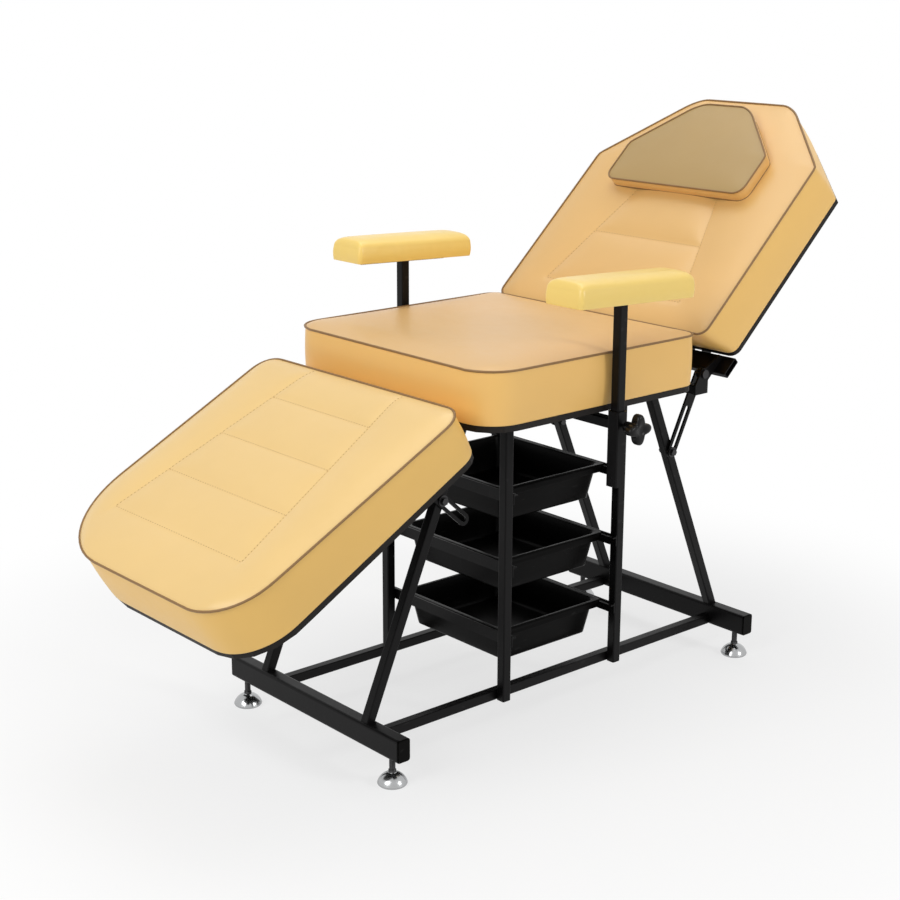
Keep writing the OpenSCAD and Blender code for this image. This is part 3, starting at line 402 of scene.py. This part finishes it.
def vinyl_grain():
    """Embossed leather grain of upholstery vinyl: rounded cells about a millimetre wide, fine pores, and
    a slow change of tone and gloss over the surface."""
    g, gi, go = group("vinyl grain", [("Place", "Vector", None), ("Cells", "Float", 780.0)],
                      [("Height", "Float", None), ("Tone", "Float", None), ("Gloss", "Float", None)])
    warp = node(g, "TexNoise", Scale=160.0, Detail=2.0)
    link(g, gi.outputs["Place"], warp.inputs["Vector"])
    mixed = node(g, "VectorMath", operation="MULTIPLY_ADD")
    mixed.inputs[1].default_value = (0.0016, 0.0016, 0.0016)
    link(g, warp.outputs["Color"], mixed.inputs[0])
    link(g, gi.outputs["Place"], mixed.inputs[2])
    cells = node(g, "TexVoronoi", feature="F1")
    link(g, mixed.outputs[0], cells.inputs["Vector"])
    link(g, gi.outputs["Cells"], cells.inputs["Scale"])
    hills = ramp(g, cells.outputs["Distance"], [(0.0, 1.0), (0.35, 0.85), (0.75, 0.0)])
    pores = node(g, "TexNoise", Scale=2600.0, Detail=1.0)
    link(g, gi.outputs["Place"], pores.inputs["Vector"])
    height = math_node(g, "ADD", math_node(g, "MULTIPLY", hills, 0.8),
                       math_node(g, "MULTIPLY", pores.outputs["Fac"], 0.2))
    link(g, height, go.inputs["Height"])
    slow = node(g, "TexNoise", Scale=4.5, Detail=3.0, Roughness=0.6)
    link(g, gi.outputs["Place"], slow.inputs["Vector"])
    link(g, slow.outputs["Fac"], go.inputs["Tone"])
    mid = node(g, "TexNoise", Scale=38.0, Detail=3.0)
    link(g, gi.outputs["Place"], mid.inputs["Vector"])
    link(g, mid.outputs["Fac"], go.inputs["Gloss"])
    return g


def coat_peel():
    """Orange peel of powder coat or moulded plastic: soft bumps a few millimetres wide with finer ones on
    them, a fingerprint-like change of gloss, and sparse hairline scuffs."""
    g, gi, go = group("coat peel", [("Place", "Vector", None), ("Peel", "Float", 420.0)],
                      [("Height", "Float", None), ("Gloss", "Float", None), ("Scuff", "Float", None)])
    peel = node(g, "TexNoise", Detail=2.0, Roughness=0.45)
    link(g, gi.outputs["Place"], peel.inputs["Vector"])
    link(g, gi.outputs["Peel"], peel.inputs["Scale"])
    link(g, peel.outputs["Fac"], go.inputs["Height"])
    touch = node(g, "TexNoise", Scale=14.0, Detail=4.0, Roughness=0.6)
    link(g, gi.outputs["Place"], touch.inputs["Vector"])
    link(g, touch.outputs["Fac"], go.inputs["Gloss"])
    stretch = node(g, "Mapping", Scale=(900.0, 30.0, 60.0), Rotation=(0.3, 0.5, 0.7))
    link(g, gi.outputs["Place"], stretch.inputs["Vector"])
    lines = node(g, "TexNoise", Scale=1.0, Detail=1.0)
    link(g, stretch.outputs[0], lines.inputs["Vector"])
    link(g, ramp(g, lines.outputs["Fac"], [(0.0, 0.0), (0.69, 0.0), (0.74, 1.0)]), go.inputs["Scuff"])
    return g


VINYL, COAT = vinyl_grain(), coat_peel()


def linear(*rgb):
    """An sRGB colour of 0 to 255 as linear values with alpha."""
    v = [c / 255 for c in rgb]
    return (*[c / 12.92 if c <= 0.04045 else ((c + 0.055) / 1.055) ** 2.4 for c in v], 1.0)


def start_material(name, **shader):
    """A new material with its settings: itself, its tree, its shader and the object's own coordinates."""
    m = bpy.data.materials.new(name)
    m.use_nodes = True
    t = m.node_tree
    p = t.nodes["Principled BSDF"]
    for key, value in shader.items():
        p.inputs[key.replace("_", " ")].default_value = value
    place = t.nodes.new("ShaderNodeTexCoord").outputs["Object"]
    return m, t, p, place


def use_group(t, which, place, **values):
    """One of the two surface groups, fed with the place and its own settings."""
    n = t.nodes.new("ShaderNodeGroup")
    n.node_tree = which
    link(t, place, n.inputs["Place"])
    for key, value in values.items():
        n.inputs[key].default_value = value
    return n


def add_bump(t, p, height, strength, distance):
    """Feeds a height, distance metres high, to the shader's normal."""
    b = node(t, "Bump", Strength=strength, Distance=distance)
    link(t, height, b.inputs["Height"])
    link(t, b.outputs[0], p.inputs["Normal"])
    return b


def between(t, value, low, high):
    """Maps 0..1 to low..high."""
    n = node(t, "MapRange")
    n.inputs["To Min"].default_value, n.inputs["To Max"].default_value = low, high
    link(t, value, n.inputs["Value"])
    return n.outputs[0]


def tone_mix(t, p, fac, dark, light):
    """Mixes two colours by fac into the shader's base colour."""
    n = t.nodes.new("ShaderNodeMix")
    n.data_type = "RGBA"
    n.inputs["A"].default_value, n.inputs["B"].default_value = dark, light
    link(t, fac, n.inputs["Factor"])
    link(t, n.outputs["Result"], p.inputs["Base Color"])


def vinyl(name, colour, rough=0.4, coat=0.12, slack=0.0):
    """Upholstery vinyl: grain bump, tone within a few percent, gloss that varies a little, and where it is
    slack, soft folds a few centimetres wide."""
    m, t, p, place = start_material(name, Coat_Weight=coat, Coat_Roughness=0.28, Sheen_Weight=0.0)
    g = use_group(t, VINYL, place)
    dark = tuple(c * 0.93 for c in colour[:3]) + (1.0,)
    light = tuple(min(c * 1.04, 1) for c in colour[:3]) + (1.0,)
    tone_mix(t, p, g.outputs["Tone"], dark, light)
    link(t, between(t, g.outputs["Gloss"], rough - 0.06, rough + 0.07), p.inputs["Roughness"])
    grain = add_bump(t, p, g.outputs["Height"], 0.22, 0.00035)
    if slack:
        folds = node(t, "TexNoise", Scale=26.0, Detail=1.0, Roughness=0.4)
        link(t, place, folds.inputs["Vector"])
        soft = node(t, "Bump", Strength=slack, Distance=0.004)
        link(t, folds.outputs["Fac"], soft.inputs["Height"])
        link(t, soft.outputs[0], grain.inputs["Normal"])
    return m


def coated(name, colour, rough, peel=420.0, bump=0.12, shine=0.13):
    """Powder coat or moulded plastic, with peel, gloss changes and faint scuffs."""
    m, t, p, place = start_material(name, Specular_IOR_Level=shine)
    g = use_group(t, COAT, place, Peel=peel)
    light = tuple(min(c * 2.2 + 0.012, 1) for c in colour[:3]) + (1.0,)
    tone_mix(t, p, math_node(t, "MULTIPLY", g.outputs["Scuff"], 0.5), colour, light)
    link(t, between(t, g.outputs["Gloss"], rough - 0.08, rough + 0.1), p.inputs["Roughness"])
    add_bump(t, p, g.outputs["Height"], bump, 0.0004)
    return m


def bare_metal(name, colour, rough, brushed):
    """Chrome or zinc plate: a metal with a slight haze and, where brushed, fine lines across Z."""
    m, t, p, place = start_material(name, Metallic=1.0, Base_Color=colour)
    g = use_group(t, COAT, place, Peel=260.0)
    link(t, between(t, g.outputs["Gloss"], rough * 0.7, rough * 1.4), p.inputs["Roughness"])
    add_bump(t, p, g.outputs["Scuff" if brushed else "Height"], 0.06, 0.0001)
    return m


def stained_board(name):
    """Black stained plywood: veneer lines across its edge and a dry brushed surface."""
    m, t, p, place = start_material(name, Specular_IOR_Level=0.2)
    lines = node(t, "Mapping", Scale=(6.0, 260.0, 380.0), Rotation=(0.75, 0.0, 0.0))
    link(t, place, lines.inputs["Vector"])
    grain = node(t, "TexNoise", Scale=1.0, Detail=4.0, Roughness=0.7)
    link(t, lines.outputs[0], grain.inputs["Vector"])
    tone_mix(t, p, grain.outputs["Fac"], (0.004, 0.003, 0.0025, 1), (0.014, 0.011, 0.009, 1))
    link(t, between(t, grain.outputs["Fac"], 0.45, 0.7), p.inputs["Roughness"])
    add_bump(t, p, grain.outputs["Fac"], 0.3, 0.0005)
    return m


def thread(name, colour):
    """Twisted sewing thread: fine slanted ridges, with painted shade that darkens the grooves between them.
    """
    m, t, p, place = start_material(name, Roughness=0.6)
    wave = node(t, "TexWave", Scale=900.0, Distortion=1.0)
    link(t, place, wave.inputs["Vector"])
    tone_mix(t, p, wave.outputs["Fac"], tuple(c * 0.8 for c in colour[:3]) + (1,), colour)
    add_bump(t, p, wave.outputs["Fac"], 0.3, 0.0002)
    return m


# Each cushion's top and its side panel take two colours of one vinyl. The difference between them is painted
# light: the paler, less saturated tops stand for the sheen that falls on them from above, and the side
# colours for how the lamps light the sides.
vinyl_legrest_top_painted_light = vinyl("legrest vinyl", (0.845, 0.58, 0.228, 1), 0.42, 0.2)
vinyl_seat = vinyl("seat vinyl", (0.72, 0.44, 0.165, 1), 0.4, 0.2)
vinyl_back_top_painted_light = vinyl("back vinyl", (0.765, 0.465, 0.158, 1), 0.38, 0.3)
vinyl_leg_side_painted_light = vinyl("legrest side vinyl with painted light", (0.85, 0.525, 0.138, 1), 0.46)
vinyl_seat_side_painted_light = vinyl("seat side vinyl with painted light", (0.88, 0.535, 0.16, 1), 0.46)
vinyl_back_side_painted_light = vinyl("back side vinyl with painted light", (0.9, 0.55, 0.155, 1), 0.46)
vinyl_pillow = vinyl("pillow face vinyl", (0.44, 0.292, 0.11, 1), 0.5, 0.05)
vinyl_arm = vinyl("armrest vinyl", linear(246, 212, 116), 0.34, 0.2, slack=0.5)
welt_brown = vinyl("brown welt vinyl", (0.24, 0.13, 0.042, 1), 0.5, 0.0)
thread_tan = thread("tan thread", linear(196, 158, 104))
black_coat = coated("black powder coat", (0.0026, 0.0023, 0.0025, 1), 0.36)
black_plastic = coated("black moulded plastic", (0.0012, 0.001, 0.0009, 1), 0.3, 700.0, 0.08, 0.055)
knob_plastic = coated("black knob plastic", (0.003, 0.0028, 0.003, 1), 0.28, 900.0, 0.06, 0.2)
board_black = stained_board("black stained plywood")
chrome = bare_metal("chrome plate", (0.42, 0.425, 0.43, 1), 0.2, False)
oxide = bare_metal("black oxide", (0.05, 0.049, 0.05, 1), 0.4, True)


# ---------- cushions ----------

def below(d, half):
    """Share of a seam's depth at distance d from its line: exp(-(d / half)^2)."""
    return np.exp(-(np.asarray(d) / half) ** 2)


def seam_dents(x, y, s, end, across):
    """Share of the seams' depth, 1 on a seam: two long seams at +-s where end is 1, and seams across
    between them."""
    long_seams = below(np.abs(x) - s[:, None], SEAM_HALF) * end
    between_them = np.abs(x) <= s[:, None] + 1e-6
    return np.maximum(long_seams, np.max([below(y - k, SEAM_HALF) for k in across], 0) * between_them)


def edge_distance(x, y, near, far, start, end):
    """Distance of each point of a grid to the nearest side or end of the cushion."""
    sides = np.minimum(near[:, None] - x, far[:, None] + x)
    return np.minimum(sides, np.minimum(y - start, end - y))


def legrest_grid():
    """Legrest top: crown of 11 mm, two long seams that spread toward the foot end, and four across. Its
    sewn edge falls 19 mm from the foot end to the hinge."""
    near_r, far_r, knee_r = 0.110, 0.190, 0.044
    y = corner_rows(LEG_FOOT, LEG_KNEE, far_r, knee_r, ROW_SPACE, LEG_SEAMS)
    near, far = [HALF_W - corner_in(y - LEG_FOOT, r) - corner_in(LEG_KNEE - y, knee_r)
                 for r in (near_r, far_r)]
    seam = 0.135 + 0.071 * np.clip((-y - 0.082) / 0.447, 0, 1)
    s = np.minimum(seam, 0.8 * np.minimum(near, far) - 0.007)
    x = columns(near, far, s)
    yy = y[:, None] + 0 * x
    d = edge_distance(x, yy, near, far, LEG_FOOT, LEG_KNEE)
    dent = seam_dents(x, yy, s, np.clip((yy + 0.535) / 0.004, 0, 1), LEG_SEAMS)
    z = (LEG_FACE - LEG_FALL * (yy - LEG_FOOT) / (LEG_KNEE - LEG_FOOT)
         + (0.0110 - SEAM_DEPTH * dent) * rise(d, ROLL))
    return (x, yy, z), (dent > 0.99) & (d > 0.02)


def back_grid():
    """Back top: crown of 5 mm, two long seams that close in and end under the pillow, and two across."""
    low_r, high_r = 0.020, 0.026
    tapers = ((0.4805, 0.143), (0.455, 0.118))     # near and far: where it starts, half width at the end
    y = corner_rows(BACK_START, BACK_END, low_r, high_r, ROW_SPACE, (*BACK_SEAMS, 0.455, 0.4805))
    near, far = [HALF_W - (HALF_W - top) * np.clip((y - at) / (BACK_END - at), 0, 1)
                 - corner_in(y - BACK_START, low_r) - corner_in(BACK_END - y, high_r) for at, top in tapers]
    seam = 0.194 - 0.065 / 0.218 * (np.clip(y, 0.096, 0.364) - 0.096)
    s = np.minimum(seam, 0.8 * np.minimum(near, far) - 0.007)
    x = columns(near, far, s)
    yy = y[:, None] + 0 * x
    d = edge_distance(x, yy, near, far, BACK_START, BACK_END)
    end = np.clip((yy - 0.090) / 0.004, 0, 1) * np.clip((0.420 - yy) / 0.02, 0, 1)
    dent = seam_dents(x, yy, s, end, BACK_SEAMS)
    z = BACK_FACE + (0.0050 - SEAM_DEPTH * dent) * rise(d, ROLL)
    return (x, yy, z), (dent > 0.99) & (d > 0.02)


def plain_columns(width, count):
    """X places of each row with no long seam: u + 0.11 sin(pi u) of the half width, close at the edges."""
    u = np.linspace(-1, 1, count + 1)
    return np.asarray(width)[:, None] * (u + 0.11 * np.sin(math.pi * u))[None, :]


def seat_grid():
    """Seat top: crown of 9 mm and no seams."""
    front_r, rear_r = 0.070, 0.034
    y = corner_rows(SEAT_FRONT, SEAT_REAR, front_r, rear_r, 0.013)
    w = HALF_W - corner_in(y - SEAT_FRONT, front_r) - corner_in(SEAT_REAR - y, rear_r)
    x = plain_columns(w, 44)
    yy = y[:, None] + 0 * x
    d = edge_distance(x, yy, w, w, SEAT_FRONT, SEAT_REAR)
    return x, yy, SEAT_TOP + 0.0090 * rise(d, ROLL)


def pillow_grid():
    """Pillow top: crown of 3.5 mm, and sides that taper from its widest line to its upper edge."""
    half, narrower, r = 0.194, 0.126, 0.024
    y = corner_rows(PILLOW_START, PILLOW_END, r, r, ROW_SPACE, (PILLOW_WIDEST,))
    taper = narrower * (y - PILLOW_WIDEST) / (PILLOW_END - PILLOW_WIDEST)
    w = np.where(y < PILLOW_WIDEST, half, half - taper)
    w = w - corner_in(y - PILLOW_START, r) - corner_in(PILLOW_END - y, r)
    x = plain_columns(w, 34)
    yy = y[:, None] + 0 * x
    d = edge_distance(x, yy, w, w, PILLOW_START, PILLOW_END)
    return x, yy, PILLOW_FACE + 0.0035 * rise(d, ROLL)


def armrest_grid():
    """Armrest top: sqrt(1 - t^4) of 18.5 mm across it, times sqrt(1 - s^4) over the last 26 mm of
    both ends."""
    end, r = PAD_L / 2, 0.008
    y = corner_rows(-end, end, r, r, 0.009)
    w = PAD_W / 2 - corner_in(y + end, r) - corner_in(end - y, r)
    u = np.sin(np.linspace(-1, 1, 23) * math.pi / 2)
    x = w[:, None] * u[None, :]
    yy = y[:, None] + 0 * x
    roll = lambda d, r: np.sqrt(np.maximum(1 - (1 - np.clip(d / r, 0, 1)) ** 4, 0))
    over = roll(w[:, None] - np.abs(x), w[:, None])
    return x, yy, PAD_EDGE + 0.0185 * over * roll(np.minimum(yy + end, end - yy), 0.026)


def surface_of(obj, count):
    """Where a piece's first count points end up once its modifiers have smoothed it."""
    done = obj.evaluated_get(bpy.context.evaluated_depsgraph_get()).to_mesh()
    co = np.empty(len(done.vertices) * 3)
    done.vertices.foreach_get("co", co)
    return co.reshape(-1, 3)[:count]


def cushion(name, nodename, body, slot, grid, low, place, up, top_mat, side_mat=None, pins=None,
            pressure=3.0, cap=0.0045, lean=0.0, tuck=0.0012, cord_r=0.0023, low_cord=0.0):
    """One upholstered piece: a swollen sewn block and its brown welts, from the grid of its top."""
    x, y, z = grid
    points, faces, edge = sewn_block(x, y, z, low, lean, tuck)
    obj = make_piece(name, place(points), faces, top_mat, body, slot)
    # side_mat colours the side panel. For the legrest, seat and back it is a second colour of the top's vinyl
    # that stands for how the light falls on the sides: painted light.
    if side_mat:
        obj.data.materials.append(side_mat)
        index = np.zeros(len(faces), int)
        index[(x.shape[0] - 1) * (x.shape[1] - 1):] = 1
        obj.data.polygons.foreach_set("material_index", index)
    n = len(edge)
    fixed = [edge, np.arange(len(points) - 2 * n, len(points))]
    if pins is not None:
        fixed.append(np.flatnonzero(pins.ravel()))
    swell(obj, np.unique(np.concatenate(fixed)), pressure, cap)
    smooth_once(obj)
    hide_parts(nodename)
    final = surface_of(obj, len(points))
    up = np.asarray(up, float)

    def cord(loop, radius, proud, lift):
        t = np.roll(loop, -1, 0) - np.roll(loop, 1, 0)
        out = np.cross(t, up)
        out /= np.linalg.norm(out, axis=1, keepdims=True)
        return tube_along(loop + out * proud + up * lift, up, radius)

    cords = [cord(final[edge], cord_r, cord_r * 0.45, cord_r * 0.3)] if cord_r else []
    if low_cord:
        cords.append(cord(final[-2 * n:-n], low_cord, low_cord * 0.3, low_cord * 0.9))
    if cords:
        make_piece(name + "_welt", *join(cords), welt_brown, body, slot)
    return final[:x.size].reshape(*x.shape, 3)


def seam_thread(name, top, y, across, low, high, up, body, slot):
    """Stitches on a cushion's own top: the two long seams between low and high, and the seams across."""
    first, last = OUTER + 1, top.shape[1] - 2 - OUTER
    rows = np.flatnonzero((y > low) & (y < high))
    paths = [top[rows, first], top[rows, last]]
    paths += [top[np.argmin(np.abs(y - k)), first:last + 1] for k in across]
    lines = [stitches(path + up * 0.0004, up) for path in paths]
    make_piece(name, *join(lines), thread_tan, body, slot)


back_up = np.array([0, -math.sin(BACK_TILT), math.cos(BACK_TILT)])
leg_up = np.array([0, -math.sin(LEG_TILT), math.cos(LEG_TILT)])
flat_up = np.array([0, 0, 1.0])

grid, pins = legrest_grid()
top = cushion("legrest_upholstery", "legrest_cushion", "legrest", "vinyl_leg", grid, LEG_LOW, on_legrest,
              leg_up, vinyl_legrest_top_painted_light, vinyl_leg_side_painted_light, pins)
seam_thread("legrest_stitching", top, grid[1][:, 0], LEG_SEAMS, -0.5295, -0.069, leg_up,
            "legrest", "vinyl_leg")

grid, pins = back_grid()
top = cushion("back_upholstery", "back_cushion", "backrest", "vinyl_seat", grid, BACK_LOW, on_back,
              back_up, vinyl_back_top_painted_light, vinyl_back_side_painted_light, pins, lean=BACK_LEAN)
seam_thread("back_stitching", top, grid[1][:, 0], BACK_SEAMS, 0.0955, 0.362, back_up,
            "backrest", "vinyl_seat")

cushion("seat_upholstery", "seat_cushion", "frame", "vinyl_seat", seat_grid(), SEAT_LOW, at_home,
        flat_up, vinyl_seat, vinyl_seat_side_painted_light, cap=0.005)
cushion("headrest_pillow_upholstery", "headrest_pillow", "backrest", "vinyl_pillow", pillow_grid(),
        PILLOW_LOW, on_back, back_up, vinyl_pillow, vinyl_back_top_painted_light, cap=0.004, cord_r=0.002, low_cord=0.002)
for side, sx in (("near", 1), ("far", -1)):
    cushion(side + "_armrest_upholstery", side + "_armrest_pad", side + "_armrest", "vinyl_arm",
            armrest_grid(), PAD_LOW, lambda p, sx=sx: tilt(p, ARM_TILT, ARM_TOP * np.array([sx, 1, 1])),
            flat_up, vinyl_arm, pressure=2.0, cap=0.002, tuck=0.0, cord_r=0)


# ---------- trays, feet and knobs ----------

def tray_tub(rim):
    """A moulded tub: rounded rectangles carried down its outside, over a 3 mm flange, and back down its
    inside; each is (half x, half y, corner radius, height). A 16 mm lip hangs at each X end."""
    z0 = rim - 0.073
    bx, by, wall = 0.149, 0.133, 0.003
    outside = [(0.1330, 0.1160, 0.012, z0), (0.1358, 0.1188, 0.015, z0 + 0.0008),
               (0.1371, 0.1201, 0.017, z0 + 0.004)]
    outside += [(0.1371 + 0.0119 * k, 0.1201 + 0.0129 * k, 0.017 + 0.004 * k, z0 + 0.004 + 0.064 * k)
                for k in (0.25, 0.5, 0.75, 1.0)]
    flange = [(0.1500, 0.1350, 0.012, rim - 0.0031), (0.1540, 0.1410, 0.008, rim - 0.0031),
              (0.1550, 0.1420, 0.008, rim - 0.0022), (0.1550, 0.1420, 0.008, rim - 0.0012),
              (0.1542, 0.1412, 0.008, rim - 0.0002), (0.1530, 0.1400, 0.008, rim)]
    inside = [(bx - wall + 0.0020, by - wall + 0.0020, 0.018, rim),
              (bx - wall + 0.0004, by - wall + 0.0004, 0.018, rim - 0.0008)]
    inside += [(bx - wall - 0.0118 * k, by - wall - 0.0128 * k, 0.018 - 0.003 * k, rim - 0.002 - 0.062 * k)
               for k in (0.0, 0.25, 0.5, 0.75, 1.0)]
    inside += [(0.1322, 0.1152, 0.014, z0 + 0.0045), (0.1300, 0.1130, 0.012, z0 + 0.0032),
               (0.1270, 0.1100, 0.011, z0 + 0.003)]
    lip = [(0.0008, 0.1318, 0.0008, rim - 0.0160), (0.0014, 0.1324, 0.0012, rim - 0.0157),
           (0.0015, 0.1328, 0.0013, rim - 0.0150), (0.0015, 0.1330, 0.0013, rim - 0.0015)]
    parts = [loft([rounded_ring(*ring) for ring in outside + flange + inside])]
    for sx in (-1, 1):
        parts.append(loft([rounded_ring(*ring) + np.array([sx * 0.1535, 0, 0]) for ring in lip]))
    points, faces = join(parts)
    return at_home(points), faces


def levelling_foot(x, y):
    """A plated foot turned round Z: a rim, a dome of 29.8 mm radius, a neck, and a threaded stud whose
    radius is 5.75 mm + 0.25 mm times a triangle wave of height / pitch - angle."""
    r = np.linspace(0.0283, 0.0085, 16)
    dome = [(q, -0.0038 + math.sqrt(0.0298 ** 2 - q * q)) for q in r]
    low = [(0.0200, 0.0), (0.0240, 0.0), (0.0262, 0.0007), (0.0277, 0.0022), (0.0285, 0.0042),
           (0.02845, 0.0052)]
    neck = [(0.0078, 0.0256), (0.0074, 0.0262), (0.0074, 0.0300), (0.0066, 0.0306), (0.0058, 0.0308)]
    stud = [(0.00575, z) for z in np.arange(0.0312, 0.0560, 0.0003)] + [(0.00575, 0.0780)]
    pitch = 0.00175

    def thread_wave(z, a):
        t = (z / pitch - a / (2 * math.pi)) % 1
        return np.where((z > 0.0312) & (z < 0.0558), 0.00025 * (2 - 8 * np.abs(t - 0.5)) / 2, 0)

    points, faces = turned(low + dome + neck + stud, 40, thread_wave)
    return at_home(points + np.array([x, y, 0])), faces


KNOB_FACE, KNOB_Z = 0.3835, 0.624
FOOT_X, FOOT_Y = 0.235, 0.484


def clamp_knob(sx):
    """A four-lobed knob turned round X: its radius is 23.4 mm + 6.6 mm cos(4 angle), drawn in over both
    rounded rims; then a boss, and a bolt that runs to the post."""
    head = [(0.10, 0.0017), (0.34, 0.0016), (0.40, 0.0004), (0.72, 0.0), (0.86, 0.0006), (0.94, 0.0018),
            (0.985, 0.0036), (1.0, 0.0062), (1.0, 0.0140), (0.985, 0.0164), (0.94, 0.0182), (0.86, 0.0194),
            (0.70, 0.0200), (0.47, 0.0200)]
    a = np.linspace(0, 2 * math.pi, 72, endpoint=False)
    share = np.array([h[0] for h in head])[:, None]
    lobes = 0.0234 + 0.0066 * np.cos(4 * a)[None, :]
    r = np.where(share > 0.6, share * lobes, share * 0.0234)
    depth = np.array([h[1] for h in head])[:, None] + 0 * r
    boss = [(0.0110, 0.0203), (0.0107, 0.0215), (0.0100, 0.0410), (0.0090, 0.0420), (0.0035, 0.0420),
            (0.0030, 0.0422)]
    r = np.concatenate([r, np.array([b[0] for b in boss])[:, None] + 0 * a[None, :]])
    depth = np.concatenate([depth, np.array([b[1] for b in boss])[:, None] + 0 * a[None, :]])
    rings = np.stack([KNOB_FACE - depth, r * np.cos(a), r * np.sin(a)], -1)[::-1]
    points, faces = loft(rings)
    bolt = np.stack([np.full(24, 1.0), 0.003 * np.cos(a[::3]), 0.003 * np.sin(a[::3])], -1)
    rows = [bolt * np.array([x, 1, 1]) for x in (0.3302, 0.3420)]
    points, faces = join([(points, faces), loft(rows)])
    points = points + np.array([0, 0, KNOB_Z])
    if sx < 0:
        points = points * np.array([-1, 1, 1])
        faces = [f[::-1] for f in faces]
    return at_home(points), faces


for word, rim in (("lower", 0.190), ("middle", 0.337), ("upper", 0.484)):
    tub = make_piece(word + "_tray_tub", *tray_tub(rim), black_plastic, word + "_tray_body", "plastic_black")
    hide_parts(word + "_tray")
for word, sx, sy in (("near_front", 1, -1), ("far_front", -1, -1), ("near_rear", 1, 1), ("far_rear", -1, 1)):
    foot = make_piece(word + "_levelling_foot", *levelling_foot(FOOT_X * sx, FOOT_Y * sy), chrome,
                      word + "_foot_body", "chrome_foot")
    foot.data.materials.append(oxide)
    height = np.array([min(foot.data.vertices[v].co.z for v in face.vertices) for face in foot.data.polygons])
    foot.data.polygons.foreach_set("material_index", (height > 0.0255).astype(int))
    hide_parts(word + "_foot")
for word, sx in (("near", 1), ("far", -1)):
    knob = make_piece(word + "_clamp_knob", *clamp_knob(sx), knob_plastic, word + "_armrest_knob_body",
                      "plastic_black")
    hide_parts(word + "_armrest_knob")


# ---------- finishes of the carried-over parts ----------

finishes = {"bolts": oxide, "pins": oxide, "pivots": oxide, "board": board_black, "caps": black_plastic}
for name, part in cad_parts.items():
    if part.hide_render:
        continue
    finish = finishes.get(name.split("_")[-1], black_coat)
    part.data.materials.clear()
    part.data.materials.append(finish)
    part.data.polygons.foreach_set("material_index", np.zeros(len(part.data.polygons), int))


# ---------- floor, light and camera ----------

def white_seen(tree):
    """1 for camera, glossy and transmission rays, which see plain white, and 0 for the rest."""
    path = tree.nodes.new("ShaderNodeLightPath")
    seen = math_node(tree, "MAXIMUM", path.outputs["Is Camera Ray"], path.outputs["Is Glossy Ray"])
    return math_node(tree, "MAXIMUM", seen, path.outputs["Is Transmission Ray"])


def studio_floor():
    """A pale floor that keeps the shadow near the chair and runs out into white."""
    m = bpy.data.materials.new("pale floor")
    m.use_nodes = True
    t = m.node_tree
    p = t.nodes["Principled BSDF"]
    p.inputs["Base Color"].default_value = (0.9, 0.9, 0.9, 1)
    p.inputs["Roughness"].default_value = 0.9
    p.inputs["Specular IOR Level"].default_value = 0.1
    place = t.nodes.new("ShaderNodeTexCoord").outputs["Object"]
    far = node(t, "VectorMath", operation="LENGTH")
    link(t, place, far.inputs[0])
    out_mask = node(t, "MapRange", interpolation_type="SMOOTHSTEP")
    out_mask.inputs["From Min"].default_value, out_mask.inputs["From Max"].default_value = 0.75, 1.5
    link(t, far.outputs["Value"], out_mask.inputs["Value"])
    keep = node(t, "MapRange")
    keep.inputs["To Min"].default_value, keep.inputs["To Max"].default_value = 0.7, 1.0
    link(t, out_mask.outputs[0], keep.inputs["Value"])
    fac = math_node(t, "MULTIPLY", keep.outputs[0], white_seen(t))
    glow = node(t, "Emission", Strength=1.0)
    glow.inputs["Color"].default_value = (1, 1, 1, 1)
    mix = t.nodes.new("ShaderNodeMixShader")
    link(t, fac, mix.inputs[0])
    link(t, p.outputs[0], mix.inputs[1])
    link(t, glow.outputs[0], mix.inputs[2])
    link(t, mix.outputs[0], t.nodes["Material Output"].inputs["Surface"])
    a = np.linspace(0, 2 * math.pi, 64, endpoint=False)
    mesh = bpy.data.meshes.new("studio_floor")
    mesh.from_pydata(np.stack([9 * np.cos(a), 9 * np.sin(a), 0 * a], -1).tolist(), [], [tuple(range(64))])
    mesh.materials.append(m)
    obj = bpy.data.objects.new("studio_floor", mesh)
    bpy.context.collection.objects.link(obj)


def studio_world():
    """Even grey light for the object, plain white for what the camera and the metal see."""
    w = bpy.data.worlds.new("studio")
    w.use_nodes = True
    t = w.node_tree
    b = t.nodes["Background"]
    b.inputs["Color"].default_value = (1, 1, 1, 1)
    seen = white_seen(t)
    link(t, between(t, seen, 0.34, 1.0), b.inputs["Strength"])
    bpy.context.scene.world = w


def softbox(name, place, aim, size, power):
    """A square area lamp at place, turned toward aim."""
    lamp = bpy.data.lights.new(name, "AREA")
    lamp.shape, lamp.size, lamp.energy = "SQUARE", size, power
    obj = bpy.data.objects.new(name, lamp)
    obj.location = place
    obj.rotation_euler = (Vector(aim) - Vector(place)).to_track_quat("-Z", "Y").to_euler()
    bpy.context.collection.objects.link(obj)


studio_floor()
studio_world()
softbox("key", (0.4, -3.4, 2.7), (0, 0, 0.6), 2.2, 75)
softbox("fill", (3.4, 1.1, 1.9), (0, 0.2, 0.8), 0.7, 37)
softbox("over", (-0.4, 0.6, 3.6), (0, 0, 0.7), 2.4, 38)

camera = bpy.data.cameras.new("camera")
camera.lens, camera.sensor_width = 68.581, 36.0
view = bpy.data.objects.new("camera", camera)
view.location = (2.4892, -2.29662 + HOME, 1.4524)
turn = [Matrix.Rotation(math.radians(a), 3, axis) for a, axis in ((49.125, "Z"), (74.349, "X"), (0.19, "Z"))]
view.rotation_euler = (turn[0] @ turn[1] @ turn[2]).to_euler()
bpy.context.collection.objects.link(view)
bpy.context.scene.camera = view
bpy.context.scene.view_settings.view_transform = "Standard"
